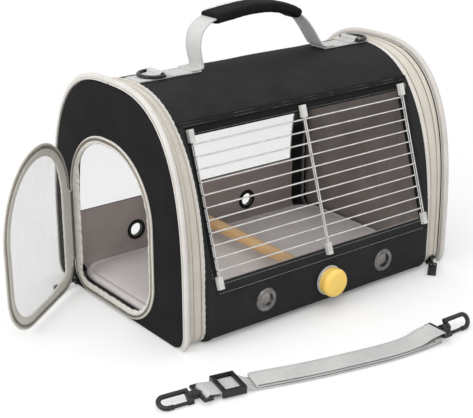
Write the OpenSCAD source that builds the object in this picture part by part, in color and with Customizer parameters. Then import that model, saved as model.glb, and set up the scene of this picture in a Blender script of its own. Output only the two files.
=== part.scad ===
// Soft-sided travel carrier for a small bird, with a wire grille, a mesh door, a perch and a shoulder strap.
// X runs along the carrier, Y to its back and Z up. The origin is at the centre of the base, on the floor.

/* [Arched body] */
// Length from one end face to the other
body_length = 400; // [370:1:430]
// Depth of the arched ends, under their piping
end_depth = 262; // [256:1:276]
// Height of the arched ends, under their piping
end_height = 268; // [260:1:280]
// How square the end arch is: 2 gives an ellipse
end_fullness = 2.85; // [2.7:0.05:3]
// Height of the roof between the two bands
roof_height = 267; // [262:1:274]
// How square the roof's arch is
roof_fullness = 2.4; // [2.3:0.05:2.5]
// Height at which the arches start to curve in
spring_height = 50; // [48:1:54]
// Radius of the long lower corners
corner_radius = 20; // [18:0.5:21]
// Thickness of the padded cloth walls
wall = 2.4; // [2:0.1:2.8]
// Thickness of the lining cloth
lining = 0.8; // [0.5:0.1:1]
// Thickness of the stiff floor board
board = 3; // [2:0.5:4]

/* [Bands and zips] */
// Width of each cream band, with its zip
band_width = 20.5; // [16:0.5:24]
// Thickness of the band's tape
band_wall = 2; // [1.5:0.1:2.4]
// Width of the zip's coil
coil_width = 1.2; // [1:0.1:1.6]
// Gap between the coil and the end panel's rim
zip_gap = 0.7; // [0.6:0.1:1]
// Radius of the white piping round the end panels
piping_radius = 3.6; // [3:0.1:4]
// Thickness of the wire hoops in the bands
hoop_wire = 3; // [2.5:0.1:3.5]

/* [Front] */
// Distance of the lower front panel from the middle of the carrier
front_reach = 137; // [134:0.5:139]
// Height of the lower front panel
front_height = 72; // [68:1:74]
// Height of the roof's front hem
hem_height = 232; // [228:1:234]
// Reach of the sloped face where it leaves the lower panel
face_reach = 134.5; // [132:0.5:135]
// How far the sloped face stands back under the hem
hem_step = 2; // [1.2:0.1:3]
// Width of the cloth post at each end of the grille
post_width = 11; // [8:0.5:13]
// Thickness of the clear film
film = 0.6; // [0.4:0.1:0.6]
// Height at which the lower film is sewn on
film_foot = 59; // [57:1:62]

/* [Grille] */
// Number of bars
bar_count = 11; // [9:1:13]
// Height of the lowest bar
bar_low = 84; // [80:1:88]
// Height of the highest bar
bar_high = 214; // [208:1:218]
// Thickness of the bars
bar_wire = 1.8; // [1.6:0.1:2]
// Thickness of each wire of the uprights
upright_wire = 1.6; // [1.4:0.1:1.7]
// How far the bars stand in front of the face
bar_standoff = 3.9; // [3.9:0.1:4.4]
// Width of a clip
clip_width = 6.5; // [5.5:0.5:8]
// Length of a clip
clip_length = 14; // [12:0.5:16]

/* [Back window] */
// Height of the lower back panel
back_height = 77; // [72:1:82]
// Height of the window's upper edge
window_top = 214; // [205:1:220]

/* [Perch and eyelets] */
// Distance between neighbouring eyelets
eyelet_pitch = 90; // [70:1:110]
// Height of the eyelets
eyelet_height = 34; // [33.5:0.1:35]
// Diameter of an eyelet's hole
eyelet_bore = 17; // [16.5:0.1:17.5]
// Width of an eyelet's flange
eyelet_flange = 5.5; // [4.5:0.1:5.5]
// Thickness of an eyelet's flange
flange_thickness = 1.2; // [1:0.1:1.4]
// Diameter of the perch
perch_diameter = 15; // [13:0.1:15.2]
// Diameter of the knobs
knob_diameter = 34; // [32:0.5:36]
// Depth of the knobs
knob_depth = 17; // [15:0.5:19]
// Diameter of the knob's stud
stud_diameter = 5; // [4:0.5:6]
// Radial clearance of a turning or sliding fit
running_fit = 0.06; // [0.05:0.01:0.1]

/* [Floor mat] */
// Length of the mat
mat_length = 376; // [350:1:380]
// Depth of the mat
mat_depth = 226; // [216:1:230]
// Thickness of the mat at its crown
mat_thickness = 11; // [10:0.5:12]
// Corner radius of the mat
mat_corner = 34; // [28:1:40]

/* [Door] */
// Front edge of the doorway, from the middle of the carrier
doorway_front = 80; // [76:1:82]
// Back edge of the doorway, from the middle of the carrier
doorway_back = 91; // [88:1:94]
// Lower edge of the doorway
doorway_low = 3; // [2:0.5:6]
// Upper edge of the doorway
doorway_high = 206; // [200:1:210]
// Width of the doorway's binding
binding_width = 9; // [8:0.5:10]
// Width of the door's cloth rim
rim_width = 10.5; // [9:0.5:12]
// Thickness of the door's rim
rim_thickness = 3; // [2.4:0.1:3]
// Thickness of the mesh
mesh = 0.6; // [0.4:0.1:0.8]
// Angle at which the door stands open, from closed
door_open = 54; // [40:1:70]

/* [Handle] */
// Width of the handle's webbing
webbing_width = 28; // [26:1:29]
// Thickness of the webbing
webbing = 2; // [1.6:0.1:2.2]
// Where the left foot stands on the ridge
left_foot = -82; // [-88:1:-78]
// Where the right foot stands on the ridge
right_foot = 96; // [90:1:100]
// Height of the webbing's top above the ridge
handle_rise = 58; // [50:1:66]
// Width of the padded grip
grip_width = 36; // [33:1:40]
// Thickness of the padded grip
grip_thickness = 15; // [13:0.5:17]
// Thickness of the D-rings' wire
ring_wire = 4; // [3.5:0.1:4.2]
// Inner width of the D-rings
ring_width = 29; // [28:0.5:31]
// Straight bar of the left D-ring
left_ring = -138; // [-142:1:-134]
// Straight bar of the right D-ring
right_ring = 152; // [147:1:156]

/* [Shoulder strap] */
// Width of the strap's webbing
strap_width = 26; // [24:0.5:27]
// Thickness of the strap's webbing
strap_thickness = 1.8; // [1.5:0.1:2]
// Height from one folded layer to the next
layer_pitch = 3; // [2.8:0.1:3.4]
// Radius of a swivel's collar
collar_radius = 4.8; // [4.6:0.1:5]
// Length of a hook, from its swivel to its tip
hook_length = 38; // [36:0.5:40]
// Radius of a hook's bow
hook_bow = 7.5; // [7.3:0.1:8]
// Thickness of a hook's rod
hook_rod = 5.2; // [5:0.1:5.6]

/* [Hidden] */

// Colours, as the cloth, wire and plastic show them
cloth_black = [0.13, 0.13, 0.13];
cloth_cream = [0.84, 0.82, 0.78];
cloth_white = [0.9, 0.9, 0.88];
cloth_grey = [0.47, 0.44, 0.43];
binding_grey = [0.65, 0.63, 0.59];
mat_grey = [0.68, 0.66, 0.66];
webbing_grey = [0.86, 0.86, 0.85];
strap_grey = [0.75, 0.75, 0.74];
plastic_black = [0.07, 0.07, 0.07];
steel = [0.8, 0.8, 0.8];
clear = [0.9, 0.93, 0.93, 0.35];
beech = [0.84, 0.69, 0.49];
yellow = [0.98, 0.8, 0.39];

// Smoothness of round parts and of the arches
round_steps = 48;
arch_steps = 44;
corner_steps = 5;
// A small overlap that joins the solids of one piece
join = 0.2;
// A small gap between cloth pieces that move past each other
cloth_gap = 0.3;

half_length = body_length / 2;
half_depth = end_depth / 2;
end_sides = [half_depth, end_height, end_fullness];
roof_sides = [half_depth, roof_height, roof_fullness];
rim_depth = wall + piping_radius * 1.5;
coil_outer = half_length - rim_depth - zip_gap;
band_outer = coil_outer - coil_width;
band_inner = band_outer - band_width;
post_inner = band_inner - post_width;
floor_top = wall + board;

// A point of an arch: sides = [half depth, height, fullness], angle from the +Y side over the ridge
function arch_point(sides, angle) =
    let (rise = sides[1] - spring_height)
    let (across = pow(abs(cos(angle)) / sides[0], sides[2]))
    let (upward = pow(abs(sin(angle)) / rise, sides[2]))
    let (reach = pow(across + upward, -1 / sides[2]))
    [reach * cos(angle), spring_height + reach * sin(angle)];

function shrunk(sides, inset) = [sides[0] - inset, sides[1] - inset, sides[2]];

function arch_run(sides, from, to, steps) =
    [for (k = [0 : steps]) arch_point(sides, from + (to - from) * k / steps)];

// Half depth of an arch at a height
function reach_at(sides, height) =
    let (rise = max(height - spring_height, 0) / (sides[1] - spring_height))
    sides[0] * pow(1 - pow(rise, sides[2]), 1 / sides[2]) - corner_loss(height);
function corner_loss(height) =
    height >= corner_radius
        ? 0
        : corner_radius - sqrt(pow(corner_radius, 2) - pow(corner_radius - height, 2));
function angle_at(sides, height) = atan2(height - spring_height, reach_at(sides, height));

// The rounded lower corner on the +Y side, drawn in by an inset
function corner_run(half, inset) =
    let (r = corner_radius - inset)
    [for (k = [0 : corner_steps])
        let (t = -90 + 90 * k / corner_steps)
        [half - corner_radius + r * cos(t), corner_radius + r * sin(t)]];

function mirrored(run) = [for (k = [len(run) - 1 : -1 : 0]) [-run[k][0], run[k][1]]];
function turned(run) = [for (k = [len(run) - 1 : -1 : 0]) run[k]];

// The whole section, from the lower back corner over the ridge to the lower front corner
function section_run(sides, inset) =
    let (corner = corner_run(sides[0], inset))
    concat(corner, arch_run(shrunk(sides, inset), 0, 180, arch_steps), mirrored(corner));

// Reach of the front face at a height: lower panel, then a short turn, then the sloped face
hem_reach = reach_at(roof_sides, hem_height) - hem_step;
face_slope = (face_reach - hem_reach) / (hem_height - front_height);
face_lean = atan(face_slope);
turn_start = front_height - 6;
turn_end = front_height + 2;
post_steps = 8;
function sloped_reach(height) = face_reach - face_slope * (height - front_height);
function front_at(height) =
    height < turn_start ? front_reach - corner_loss(height)
    : height > turn_end ? sloped_reach(height)
    : front_reach + (sloped_reach(turn_end) - front_reach) * (height - turn_start) / (turn_end - turn_start);

// Extrudes a drawing of (Y, Z) along X
module along_x(from, to) {
    translate([from, 0, 0])
        rotate([90, 0, 90])
            linear_extrude(to - from)
                children();
}

// A closed skin over rings of points
module skin(rings) {
    sides = len(rings[0]);
    last = (len(rings) - 1) * sides;
    first_cap = [for (j = [0 : sides - 1]) j];
    last_cap = [for (j = [sides - 1 : -1 : 0]) last + j];
    walls = [
        for (i = [0 : len(rings) - 2], j = [0 : sides - 1])
            let (a = i * sides + j, b = i * sides + (j + 1) % sides)
            each [[a, a + sides, b + sides], [a, b + sides, b]]
    ];
    polyhedron(points = [for (ring = rings) each ring], faces = concat([first_cap], walls, [last_cap]));
}

function unit(v) = v / norm(v);
function heading(path, i) = unit(path[min(i + 1, len(path) - 1)] - path[max(i - 1, 0)]);

// Rings of a band or tube along a path: outline = points (across, through) of its section
function sweep_rings(path, across, outline) =
    [for (i = [0 : len(path) - 1])
        let (side = across[i], through = unit(cross(heading(path, i), side)))
        [for (p = outline) path[i] + p[0] * side + p[1] * through]];

function box_outline(width, thickness) =
    [[width, thickness] / 2, [-width, thickness] / 2, [-width, -thickness] / 2, [width, -thickness] / 2];
function oval_outline(width, thickness, steps) =
    [for (k = [0 : steps - 1])
        let (t = 360 * k / steps)
        [width / 2 * cos(t), thickness / 2 * sin(t)]];

// A smooth curve through hand-placed points
function spline_at(points, u) =
    let (i = min(max(floor(u), 0), len(points) - 2), t = u - i)
    let (b = points[i], c = points[i + 1])
    let (a = i > 0 ? points[i - 1] : 2 * b - c)
    let (d = i + 2 < len(points) ? points[i + 2] : 2 * c - b)
    b + 0.5 * t * (c - a + t * (2 * a - 5 * b + 4 * c - d + t * (3 * (b - c) + d - a)));
function spline(points, steps) =
    [for (k = [0 : (len(points) - 1) * steps]) spline_at(points, k / steps)];

// A round rod between two points
module rod(from, to, radius) {
    v = to - from;
    translate(from)
        rotate([0, acos(v[2] / norm(v)), atan2(v[1], v[0])])
            cylinder(r = radius, h = norm(v), $fn = round_steps);
}

module ball(at, radius) {
    translate(at)
        sphere(r = radius, $fn = round_steps);
}

// Base, roof and lower panels

// The base cloth turns up at the back, and at the front between the posts, to where the panels start
module base_cover() {
    edge = half_depth - corner_radius;
    back = [corner_run(half_depth, 0), corner_run(half_depth, wall)];
    front = [mirrored(turned(corner_run(front_reach, 0))), mirrored(turned(corner_run(front_reach, wall)))];
    color(cloth_black) {
        along_x(-post_inner, post_inner)
            polygon(concat(turned(back[0]), front[0], turned(front[1]), back[1]));
        for (x = [-band_inner, post_inner])
            along_x(x, x + post_width)
                polygon(concat(turned(back[0]), [[-edge, 0], [-edge, wall]], back[1]));
        for (x = [-coil_outer, band_inner])
            translate([x, -edge, 0])
                cube([coil_outer - band_inner, 2 * edge, wall]);
    }
}

module base_board() {
    inset = corner_radius + 2;
    front = min(half_depth, front_reach) - inset;
    color("dimgray")
        translate([-band_outer, -front, wall])
            cube([2 * band_outer, front + half_depth - inset, board]);
}

module roof_strip(depth, thickness) {
    outer = shrunk(roof_sides, depth);
    inner = shrunk(roof_sides, depth + thickness);
    along_x(-band_inner, band_inner)
        polygon(concat(
            arch_run(outer, angle_at(outer, window_top), 180 - angle_at(outer, hem_height), arch_steps),
            arch_run(inner, 180 - angle_at(inner, hem_height), angle_at(inner, window_top), arch_steps)
        ));
}

module roof_panel() {
    color(cloth_black)
        roof_strip(0, wall);
}

module roof_lining() {
    color(cloth_grey)
        roof_strip(wall, lining);
}

// Eyelet holes through a front or back panel whose outer face is at y
module eyelet_holes(y) {
    reach = 2 * (wall + lining);
    for (k = [-1 : 1])
        rod(
            [k * eyelet_pitch, y - reach, eyelet_height],
            [k * eyelet_pitch, y + reach, eyelet_height],
            barrel_radius
        );
}

// A panel's lower end, at the top of the turned-up base, or with the corner for a lining
function low_run(half, depth, with_corner) =
    with_corner ? corner_run(half, depth) : [[half - depth, corner_radius]];

// The lower front panel's section, drawn in by a depth
function front_run(depth, with_corner) = concat(
    low_run(front_reach, depth, with_corner),
    [[front_reach - depth, turn_start], [front_at(front_height) - depth, front_height]]
);

module front_strip(depth, thickness, with_corner) {
    difference() {
        mirror([0, 1, 0])
            along_x(-post_inner, post_inner)
                polygon(concat(
                    front_run(depth, with_corner),
                    turned(front_run(depth + thickness, with_corner))
                ));
        eyelet_holes(-front_reach);
    }
}

module front_panel() {
    color(cloth_black)
        front_strip(0, wall, false);
}

module front_lining() {
    color(cloth_grey)
        front_strip(wall, lining, true);
}

// The lower back panel's section, drawn in by a depth
function back_run(depth, with_corner) = concat(
    low_run(half_depth, depth, with_corner),
    arch_run(shrunk(roof_sides, depth), 0, angle_at(roof_sides, back_height), corner_steps)
);

module back_strip(depth, thickness, with_corner) {
    difference() {
        along_x(-band_inner, band_inner)
            polygon(concat(
                back_run(depth, with_corner),
                turned(back_run(depth + thickness, with_corner))
            ));
        eyelet_holes(half_depth);
    }
}

module back_panel() {
    color(cloth_black)
        back_strip(0, wall, false);
}

module back_lining() {
    color(cloth_grey)
        back_strip(wall, lining, true);
}

module back_window() {
    from = angle_at(roof_sides, back_height);
    to = angle_at(roof_sides, window_top);
    color(clear)
        along_x(-band_inner, band_inner)
            polygon(concat(
                arch_run(shrunk(roof_sides, wall / 2), from, to, arch_steps / 2),
                turned(arch_run(shrunk(roof_sides, wall / 2 + film), from, to, arch_steps / 2))
            ));
}

// The cloth post between the grille and a band, from the face's edge out to the roof's arch
module front_post(side) {
    heights = concat(
        [for (k = [0 : corner_steps]) corner_radius * (1 - cos(90 * k / corner_steps))],
        [turn_start],
        [for (k = [0 : post_steps]) turn_end + (hem_height - turn_end) * k / post_steps]
    );
    rings = [
        for (z = heights)
            let (inner = -front_at(z), outer = -reach_at(roof_sides, z))
            [
                [side * post_inner, inner, z],
                [side * band_inner, outer, z],
                [side * band_inner, outer + wall, z],
                [side * post_inner, inner + wall, z]
            ]
    ];
    color(cloth_black)
        skin(side > 0 ? [for (ring = rings) turned(ring)] : rings);
}

module left_front_post() {
    front_post(-1);
}

module right_front_post() {
    front_post(1);
}

// Bands, hoops and zip coils

// A cream band: its outer edge follows the end's arch, its inner edge the roof's arch
module band(side) {
    edges = [
        [band_outer, section_run(end_sides, 0)],
        [band_inner, section_run(roof_sides, 0)],
        [band_inner, section_run(roof_sides, band_wall)],
        [band_outer, section_run(end_sides, band_wall)]
    ];
    rings = [
        for (i = [0 : len(edges[0][1]) - 1])
            [for (edge = edges) [side * edge[0], edge[1][i][0], edge[1][i][1]]]
    ];
    color(cloth_cream)
        skin(side > 0 ? rings : [for (ring = rings) turned(ring)]);
}

module left_band() {
    band(-1);
}

module right_band() {
    band(1);
}

// A ring that follows the end's arch between two insets, open along the floor
module arch_ring(side, near, far, outset, inset) {
    low = side > 0 ? near : -far;
    along_x(low, low + far - near)
        polygon(concat(
            section_run(shrunk(end_sides, -outset), 0),
            turned(section_run(end_sides, inset))
        ));
}

// The hoop lies under the band, which drops towards a lower roof
module hoop(side) {
    depth = 2 * band_wall + max(end_height - roof_height - 1, 0) * hoop_wire / band_width;
    color(steel)
        intersection() {
            arch_ring(side, band_outer - hoop_wire, band_outer, -depth, depth + hoop_wire);
            translate([-half_length, -half_depth, floor_top])
                cube([body_length, end_depth, end_height]);
        }
}

module left_hoop() {
    hoop(-1);
}

module right_hoop() {
    hoop(1);
}

module zip_coil(side) {
    color("gray")
        intersection() {
            arch_ring(side, band_outer, coil_outer, 0, band_wall);
            translate([-half_length, -half_depth, wall])
                cube([body_length, end_depth, end_height]);
        }
}

module left_zip_coil() {
    zip_coil(-1);
}

module right_zip_coil() {
    zip_coil(1);
}

// Grille

// Moves a drawing from the face's own axes to a height on the sloped face; Z runs up the face, -Y out of it
module on_face(x, height) {
    translate([x, -sloped_reach(height), height])
        rotate([-face_lean, 0, 0])
            children();
}

upright_x = post_inner - clip_width / 2 - join;
upright_offset = (bar_wire + upright_wire) / 2 - join;
upright_low = bar_low - clip_length - 3;
upright_high = hem_height - 4;
clip_overhang = 2;
clip_wall = 0.4;

module grille_bars() {
    color(steel)
        for (k = [0 : bar_count - 1])
            on_face(0, bar_low + (bar_high - bar_low) * k / (bar_count - 1))
                rod([-upright_x - 1, -bar_standoff, 0], [upright_x + 1, -bar_standoff, 0], bar_wire / 2);
}

module grille_uprights() {
    length = (upright_high - upright_low) / cos(face_lean);
    color(steel)
        for (x = [-upright_x, 0, upright_x], out = [-1, 1])
            on_face(x, upright_low)
                translate([0, -bar_standoff + out * upright_offset, 0])
                    cylinder(r = upright_wire / 2, h = length, $fn = round_steps);
}

module grille_clips() {
    thickness = 2 * (upright_offset + clip_wall) + upright_wire;
    heights = [upright_low - clip_overhang, upright_high - clip_length + clip_overhang];
    color(cloth_white)
        for (x = [-upright_x, 0, upright_x], height = heights)
            on_face(x, height)
                translate([-clip_width / 2, -bar_standoff - thickness / 2, 0])
                    cube([clip_width, thickness, clip_length]);
}

module film_strip(low, high) {
    heights = concat([low], low < turn_start ? [turn_start, turn_end] : [], [high]);
    outer = [for (z = heights) [-front_at(z) - film, z]];
    inner = [for (z = heights) [-front_at(z), z]];
    half = upright_x - clip_width / 2 - 1;
    color(clear)
        along_x(-half, half)
            polygon(concat(outer, turned(inner)));
}

module upper_film() {
    film_strip(bar_high - 4, hem_height - wall);
}

module lower_film() {
    film_strip(film_foot, bar_low - 2);
}

// Eyelets, perch and knobs

eyelet_length = wall + lining + 2 * flange_thickness;
barrel_radius = eyelet_bore / 2 + eyelet_flange * 0.3;

// An eyelet with its outer flange on the panel's face
module eyelet() {
    bore = eyelet_bore / 2;
    flange = bore + eyelet_flange;
    top = flange_thickness;
    bottom = top - eyelet_length;
    rotate_extrude($fn = 2 * round_steps)
        polygon([
            [bore, top], [flange - top, top], [flange, 0], [barrel_radius, 0],
            [barrel_radius, bottom + top], [flange, bottom + top], [flange - top, bottom], [bore, bottom]
        ]);
}

module front_eyelets() {
    color("silver")
        for (k = [-1 : 1])
            translate([k * eyelet_pitch, -front_reach, eyelet_height])
                rotate([90, 0, 0])
                    eyelet();
}

module back_eyelets() {
    color("silver")
        for (k = [-1 : 1])
            translate([k * eyelet_pitch, half_depth, eyelet_height])
                rotate([-90, 0, 0])
                    eyelet();
}

perch_radius = perch_diameter / 2;
knob_gap = 0.6;
socket_depth = 8;
stud_in_perch = 12;
stud_in_knob = 10;
perch_front = -front_reach - flange_thickness - knob_gap;
rear_knob_face = half_depth + flange_thickness + knob_gap;
perch_back = rear_knob_face + socket_depth;

// A rod along Y at the eyelets' height, in the middle of the carrier
module perch_rod(from, to, radius) {
    rod([0, from, eyelet_height], [0, to, eyelet_height], radius);
}

module perch() {
    color(beech)
        difference() {
            perch_rod(perch_front, perch_back, perch_radius);
            perch_rod(perch_front - 1, perch_front + stud_in_perch, stud_diameter / 2);
        }
}

module perch_stud() {
    color(steel)
        perch_rod(perch_front - stud_in_knob, perch_front + stud_in_perch, stud_diameter / 2);
}

// A knob with a rounded face and a socket in its back, standing on Z = 0
module knob(socket, depth) {
    radius = knob_diameter / 2;
    crown = 6;
    rotate_extrude($fn = 2 * round_steps)
        polygon(concat(
            [[0, depth], [socket, depth], [socket, 0], [radius - 3, 0], [radius - 1, 2]],
            [for (k = [0 : 8])
                let (t = 90 * k / 8)
                [radius - crown + crown * cos(t), knob_depth - crown + crown * sin(t)]],
            [[0, knob_depth + 1]]
        ));
}

module front_knob() {
    color(yellow)
        translate([0, perch_front - running_fit, eyelet_height])
            rotate([90, 0, 0])
                knob(stud_diameter / 2 + running_fit, stud_in_knob + 0.5);
}

module rear_knob() {
    color(yellow)
        translate([0, rear_knob_face, eyelet_height])
            rotate([-90, 0, 0])
                knob(perch_radius + running_fit, socket_depth + 0.5);
}

// Floor mat

// A loop of the mat's outline at one height, drawn in by an inset
function mat_loop(inset, z) =
    let (r = mat_corner - inset, x = mat_length / 2 - mat_corner, y = mat_depth / 2 - mat_corner)
    [for (quarter = [0 : 3], k = [0 : 7])
        let (t = 90 * quarter + 90 * k / 7)
        let (cx = (quarter == 0 || quarter == 3 ? x : -x), cy = (quarter < 2 ? y : -y))
        [cx + r * cos(t), cy + r * sin(t), z]];

// The mat's rolled edge, the groove inside it, then the crown: [inset, share of the thickness]
mat_profile = [
    [4, 0], [1.5, 0.09], [0, 0.32], [0, 0.55], [2, 0.76], [5, 0.82],
    [8, 0.73], [10, 0.75], [14, 0.87], [22, 0.95], [32, 1]
];

module floor_mat() {
    color(mat_grey)
        skin([for (p = mat_profile) mat_loop(p[0], floor_top + join + p[1] * mat_thickness)]);
}

// Ridge webbing, handle and D-rings

ridge_top = roof_height + webbing;
ring_radius = ring_wire / 2;
ring_axis = ridge_top + ring_radius + cloth_gap;
keeper_half = ring_radius + cloth_gap + webbing;

// The loop of webbing that holds a D-ring's bar
module ring_keeper(x) {
    half_width = ring_width / 2 - 1.5;
    difference() {
        rod([x, -half_width, ring_axis], [x, half_width, ring_axis], keeper_half);
        rod([x, -ring_width, ring_axis], [x, ring_width, ring_axis], ring_radius + cloth_gap);
        translate([x - keeper_half, -ring_width, roof_height - keeper_half])
            cube([2 * keeper_half, 2 * ring_width, keeper_half]);
    }
}

module ridge_webbing() {
    color(webbing_grey) {
        for (span = [[-band_inner, left_foot - 2 * webbing], [right_foot + 2 * webbing, band_inner]])
            translate([span[0], -webbing_width / 2, roof_height])
                cube([span[1] - span[0], webbing_width, webbing]);
        for (x = [left_ring, right_ring])
            ring_keeper(x);
    }
}

// A D-ring with its straight bar on the Y axis, its bow towards +X
module d_ring() {
    spread = ring_width / 2 + ring_radius;
    shank = 4;
    rod([0, -spread, 0], [0, spread, 0], ring_radius);
    for (side = [-1, 1]) {
        ball([0, side * spread, 0], ring_radius);
        rod([0, side * spread, 0], [shank, side * spread, 0], ring_radius);
    }
    translate([shank, 0, 0])
        rotate([0, 0, -90])
            rotate_extrude(angle = 180, $fn = 2 * round_steps)
                translate([spread, 0])
                    circle(r = ring_radius, $fn = round_steps);
}

module left_d_ring() {
    color(plastic_black)
        translate([left_ring, 0, ring_axis])
            rotate([0, 0, 180])
                d_ring();
}

module right_d_ring() {
    color(plastic_black)
        translate([right_ring, 0, ring_axis])
            d_ring();
}

// The handle's route in (X, Z), from the left foot over the grip to the right foot, above the hinge line
handle_axis = ridge_top + webbing;
handle_route = [
    [left_foot, 0], [-86, 14], [-87, 28], [-83, 41], [-70, 51], [-45, handle_rise - 3], [-10, handle_rise],
    [22, handle_rise - 2], [48, 49], [66, 38], [78, 25], [88, 11], [right_foot, 0]
];
handle_steps = 4;
taper_steps = 4;
foot_width = 6;
grip_first = 18;
grip_last = 33;
grip_taper = 1;

function handle_path() =
    [for (p = spline(handle_route, handle_steps)) [p[0], 0, handle_axis + p[1]]];

module handle_webbing() {
    path = handle_path();
    last = len(path) - 1;
    rings = [
        for (i = [0 : last])
            let (near = min(i, last - i) / taper_steps)
            let (width = near < 1 ? foot_width + (webbing_width - foot_width) * near : webbing_width)
            sweep_rings(path, [for (p = path) [0, 1, 0]], box_outline(width, webbing))[i]
    ];
    color(webbing_grey)
        skin(rings);
}

module handle_grip() {
    path = handle_path();
    rings = [
        for (i = [grip_first - grip_taper : grip_last + grip_taper])
            let (t = max(grip_first - i, i - grip_last, 0) / grip_taper)
            let (swell = sqrt(max(1 - 0.6 * t * t, 0)))
            sweep_rings(
                path, [for (p = path) [0, 1, 0]],
                oval_outline(grip_width * swell, grip_thickness * swell, 16)
            )[i]
    ];
    color(plastic_black)
        skin(rings);
}

// Zip sliders and their pulls, standing on Z = 0 with the zip along Y

slider_width = 8;
slider_length = 12;
slider_depth = 4.5;
lug_height = 8.3;
lug_radius = 1.8;
pull_wire = 1;
pull_reach = 8;
tab_width = 10.4;
tab_length = 22;
tab_thickness = 3;

module slider_body() {
    translate([-slider_width / 2, -slider_length / 2, 0])
        cube([slider_width, slider_length, slider_depth]);
    cylinder(r = lug_radius, h = lug_height, $fn = round_steps);
    ball([0, 0, lug_height], lug_radius);
}

// The bore for a pull's crossbar, at the lug; heading is the way the pull points, seen from above
module pull_bore(heading) {
    rotate([0, 0, heading + 90])
        rod([-tab_width / 2, 0, 0], [tab_width / 2, 0, 0], pull_wire + running_fit);
}

// A pull that turns on its crossbar, which lies on the X axis; the tab hangs towards -Y
module zip_pull() {
    half = tab_width / 2 - pull_wire;
    rod([-half, 0, 0], [half, 0, 0], pull_wire);
    for (side = [-1, 1]) {
        ball([side * half, 0, 0], pull_wire);
        rod([side * half, 0, 0], [side * half, -pull_reach, 0], pull_wire);
    }
    translate([-tab_width / 2, -pull_reach - tab_length, -tab_thickness / 2])
        cube([tab_width, tab_length + 2, tab_thickness]);
}

// The right front corner's slider: its place on the band, and the way its pull lies on the floor
slider_x = band_outer - 8;
corner_turn = 35;
corner_heading = -140;
lug_reach = half_depth - corner_radius + (corner_radius + lug_height) * cos(corner_turn);
lug_z = corner_radius - (corner_radius + lug_height) * sin(corner_turn);
corner_lug = [slider_x, -lug_reach, lug_z];
floor_gap = 0.3;
function pull_drop(height, scale) =
    asin((height - scale * tab_thickness / 2 - floor_gap) / (scale * (pull_reach + tab_length)));

module corner_slider() {
    difference() {
        translate([slider_x, -(half_depth - corner_radius), corner_radius])
            rotate([90 + corner_turn, 0, 0])
                translate([0, 0, corner_radius])
                    slider_body();
        translate(corner_lug)
            pull_bore(corner_heading);
    }
}

module corner_pull() {
    translate(corner_lug)
        rotate([0, 0, corner_heading + 90])
            rotate([pull_drop(lug_z, 1), 0, 0])
                zip_pull();
}

module right_zip_slider() {
    color(plastic_black)
        corner_slider();
}

module right_zip_pull() {
    color(plastic_black)
        corner_pull();
}

module left_zip_slider() {
    color(plastic_black)
        rotate([0, 0, 180])
            corner_slider();
}

module left_zip_pull() {
    color(plastic_black)
        rotate([0, 0, 180])
            corner_pull();
}

// End panels

// A rounded outline in (Y, Z): box = [front, back, low, high], radii from the low front corner round
function round_outline(box, radii, inset) =
    let (y = [box[0] + radii[0], box[1] - radii[1], box[1] - radii[2], box[0] + radii[3]])
    let (z = [box[2] + radii[0], box[2] + radii[1], box[3] - radii[2], box[3] - radii[3]])
    [for (corner = [0 : 3], k = [0 : 10])
        let (t = 180 + 90 * corner + 9 * k, r = radii[corner] - inset)
        [y[corner] + r * cos(t), z[corner] + r * sin(t)]];

doorway_box = [-doorway_front, doorway_back, doorway_low, doorway_high];
doorway_radii = [56, 30, 80, 80];
binding_out = 2.2;
opening_inset = binding_width - 2;

module doorway_shape(inset) {
    polygon(round_outline(doorway_box, doorway_radii, inset));
}

module end_tray(with_doorway) {
    along_x(half_length - wall, half_length)
        difference() {
            polygon(section_run(end_sides, 0));
            if (with_doorway)
                doorway_shape(opening_inset);
        }
    along_x(half_length - rim_depth, half_length - wall)
        difference() {
            polygon(section_run(end_sides, 0));
            polygon(section_run(end_sides, band_wall));
        }
}

module end_lining(with_doorway) {
    along_x(half_length - wall - lining, half_length - wall)
        difference() {
            polygon(section_run(end_sides, band_wall));
            if (with_doorway)
                doorway_shape(opening_inset);
        }
}

// White piping over the arch, from one lower corner to the other
module end_piping() {
    start = 35;
    r = corner_radius + piping_radius;
    sides = shrunk(end_sides, -piping_radius);
    corner = [
        for (k = [0 : 2])
            let (t = start * (k / 2 - 1))
            [half_depth - corner_radius + r * cos(t), corner_radius + r * sin(t)]
    ];
    run = concat(corner, arch_run(sides, 0, 180, arch_steps), mirrored(corner));
    path = [for (p = run) [half_length - wall - piping_radius / 2, p[0], p[1]]];
    outline = oval_outline(2 * piping_radius, 2 * piping_radius - 0.1, 8);
    color(cloth_white)
        skin(sweep_rings(path, [for (p = path) [1, 0, 0]], outline));
}

module left_end_panel() {
    color(cloth_black)
        mirror([1, 0, 0])
            end_tray(true);
}

module left_end_piping() {
    mirror([1, 0, 0])
        end_piping();
}

module left_end_lining() {
    color(cloth_grey)
        mirror([1, 0, 0])
            end_lining(true);
}

module right_end_panel() {
    color(cloth_black)
        end_tray(false);
}

module right_end_piping() {
    end_piping();
}

module right_end_lining() {
    color(cloth_grey)
        end_lining(false);
}

// Doorway and door

module doorway_binding() {
    color(binding_grey) {
        along_x(-half_length - binding_out, -half_length)
            difference() {
                doorway_shape(0);
                doorway_shape(binding_width);
            }
        along_x(-half_length, -half_length + wall + lining)
            difference() {
                doorway_shape(opening_inset);
                doorway_shape(binding_width);
            }
    }
}

// The door turns about a vertical line just outside the doorway's back edge
flap_thickness = 0.7;
flap_roll = 1.1;
hinge_x = -half_length - binding_out - flap_thickness - rim_thickness / 2;
hinge_y = doorway_back - 2.5;
door_box = [-doorway_front, hinge_y - flap_roll - 0.5, doorway_low + 2, doorway_high - 3];
door_radii = [56, 28, 76, 88];
teeth_width = 2;

module door_ring(outer, inner, thickness) {
    along_x(hinge_x - thickness / 2, hinge_x + thickness / 2)
        difference() {
            polygon(round_outline(door_box, door_radii, outer));
            if (inner > outer)
                polygon(round_outline(door_box, door_radii, inner));
        }
}

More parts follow.
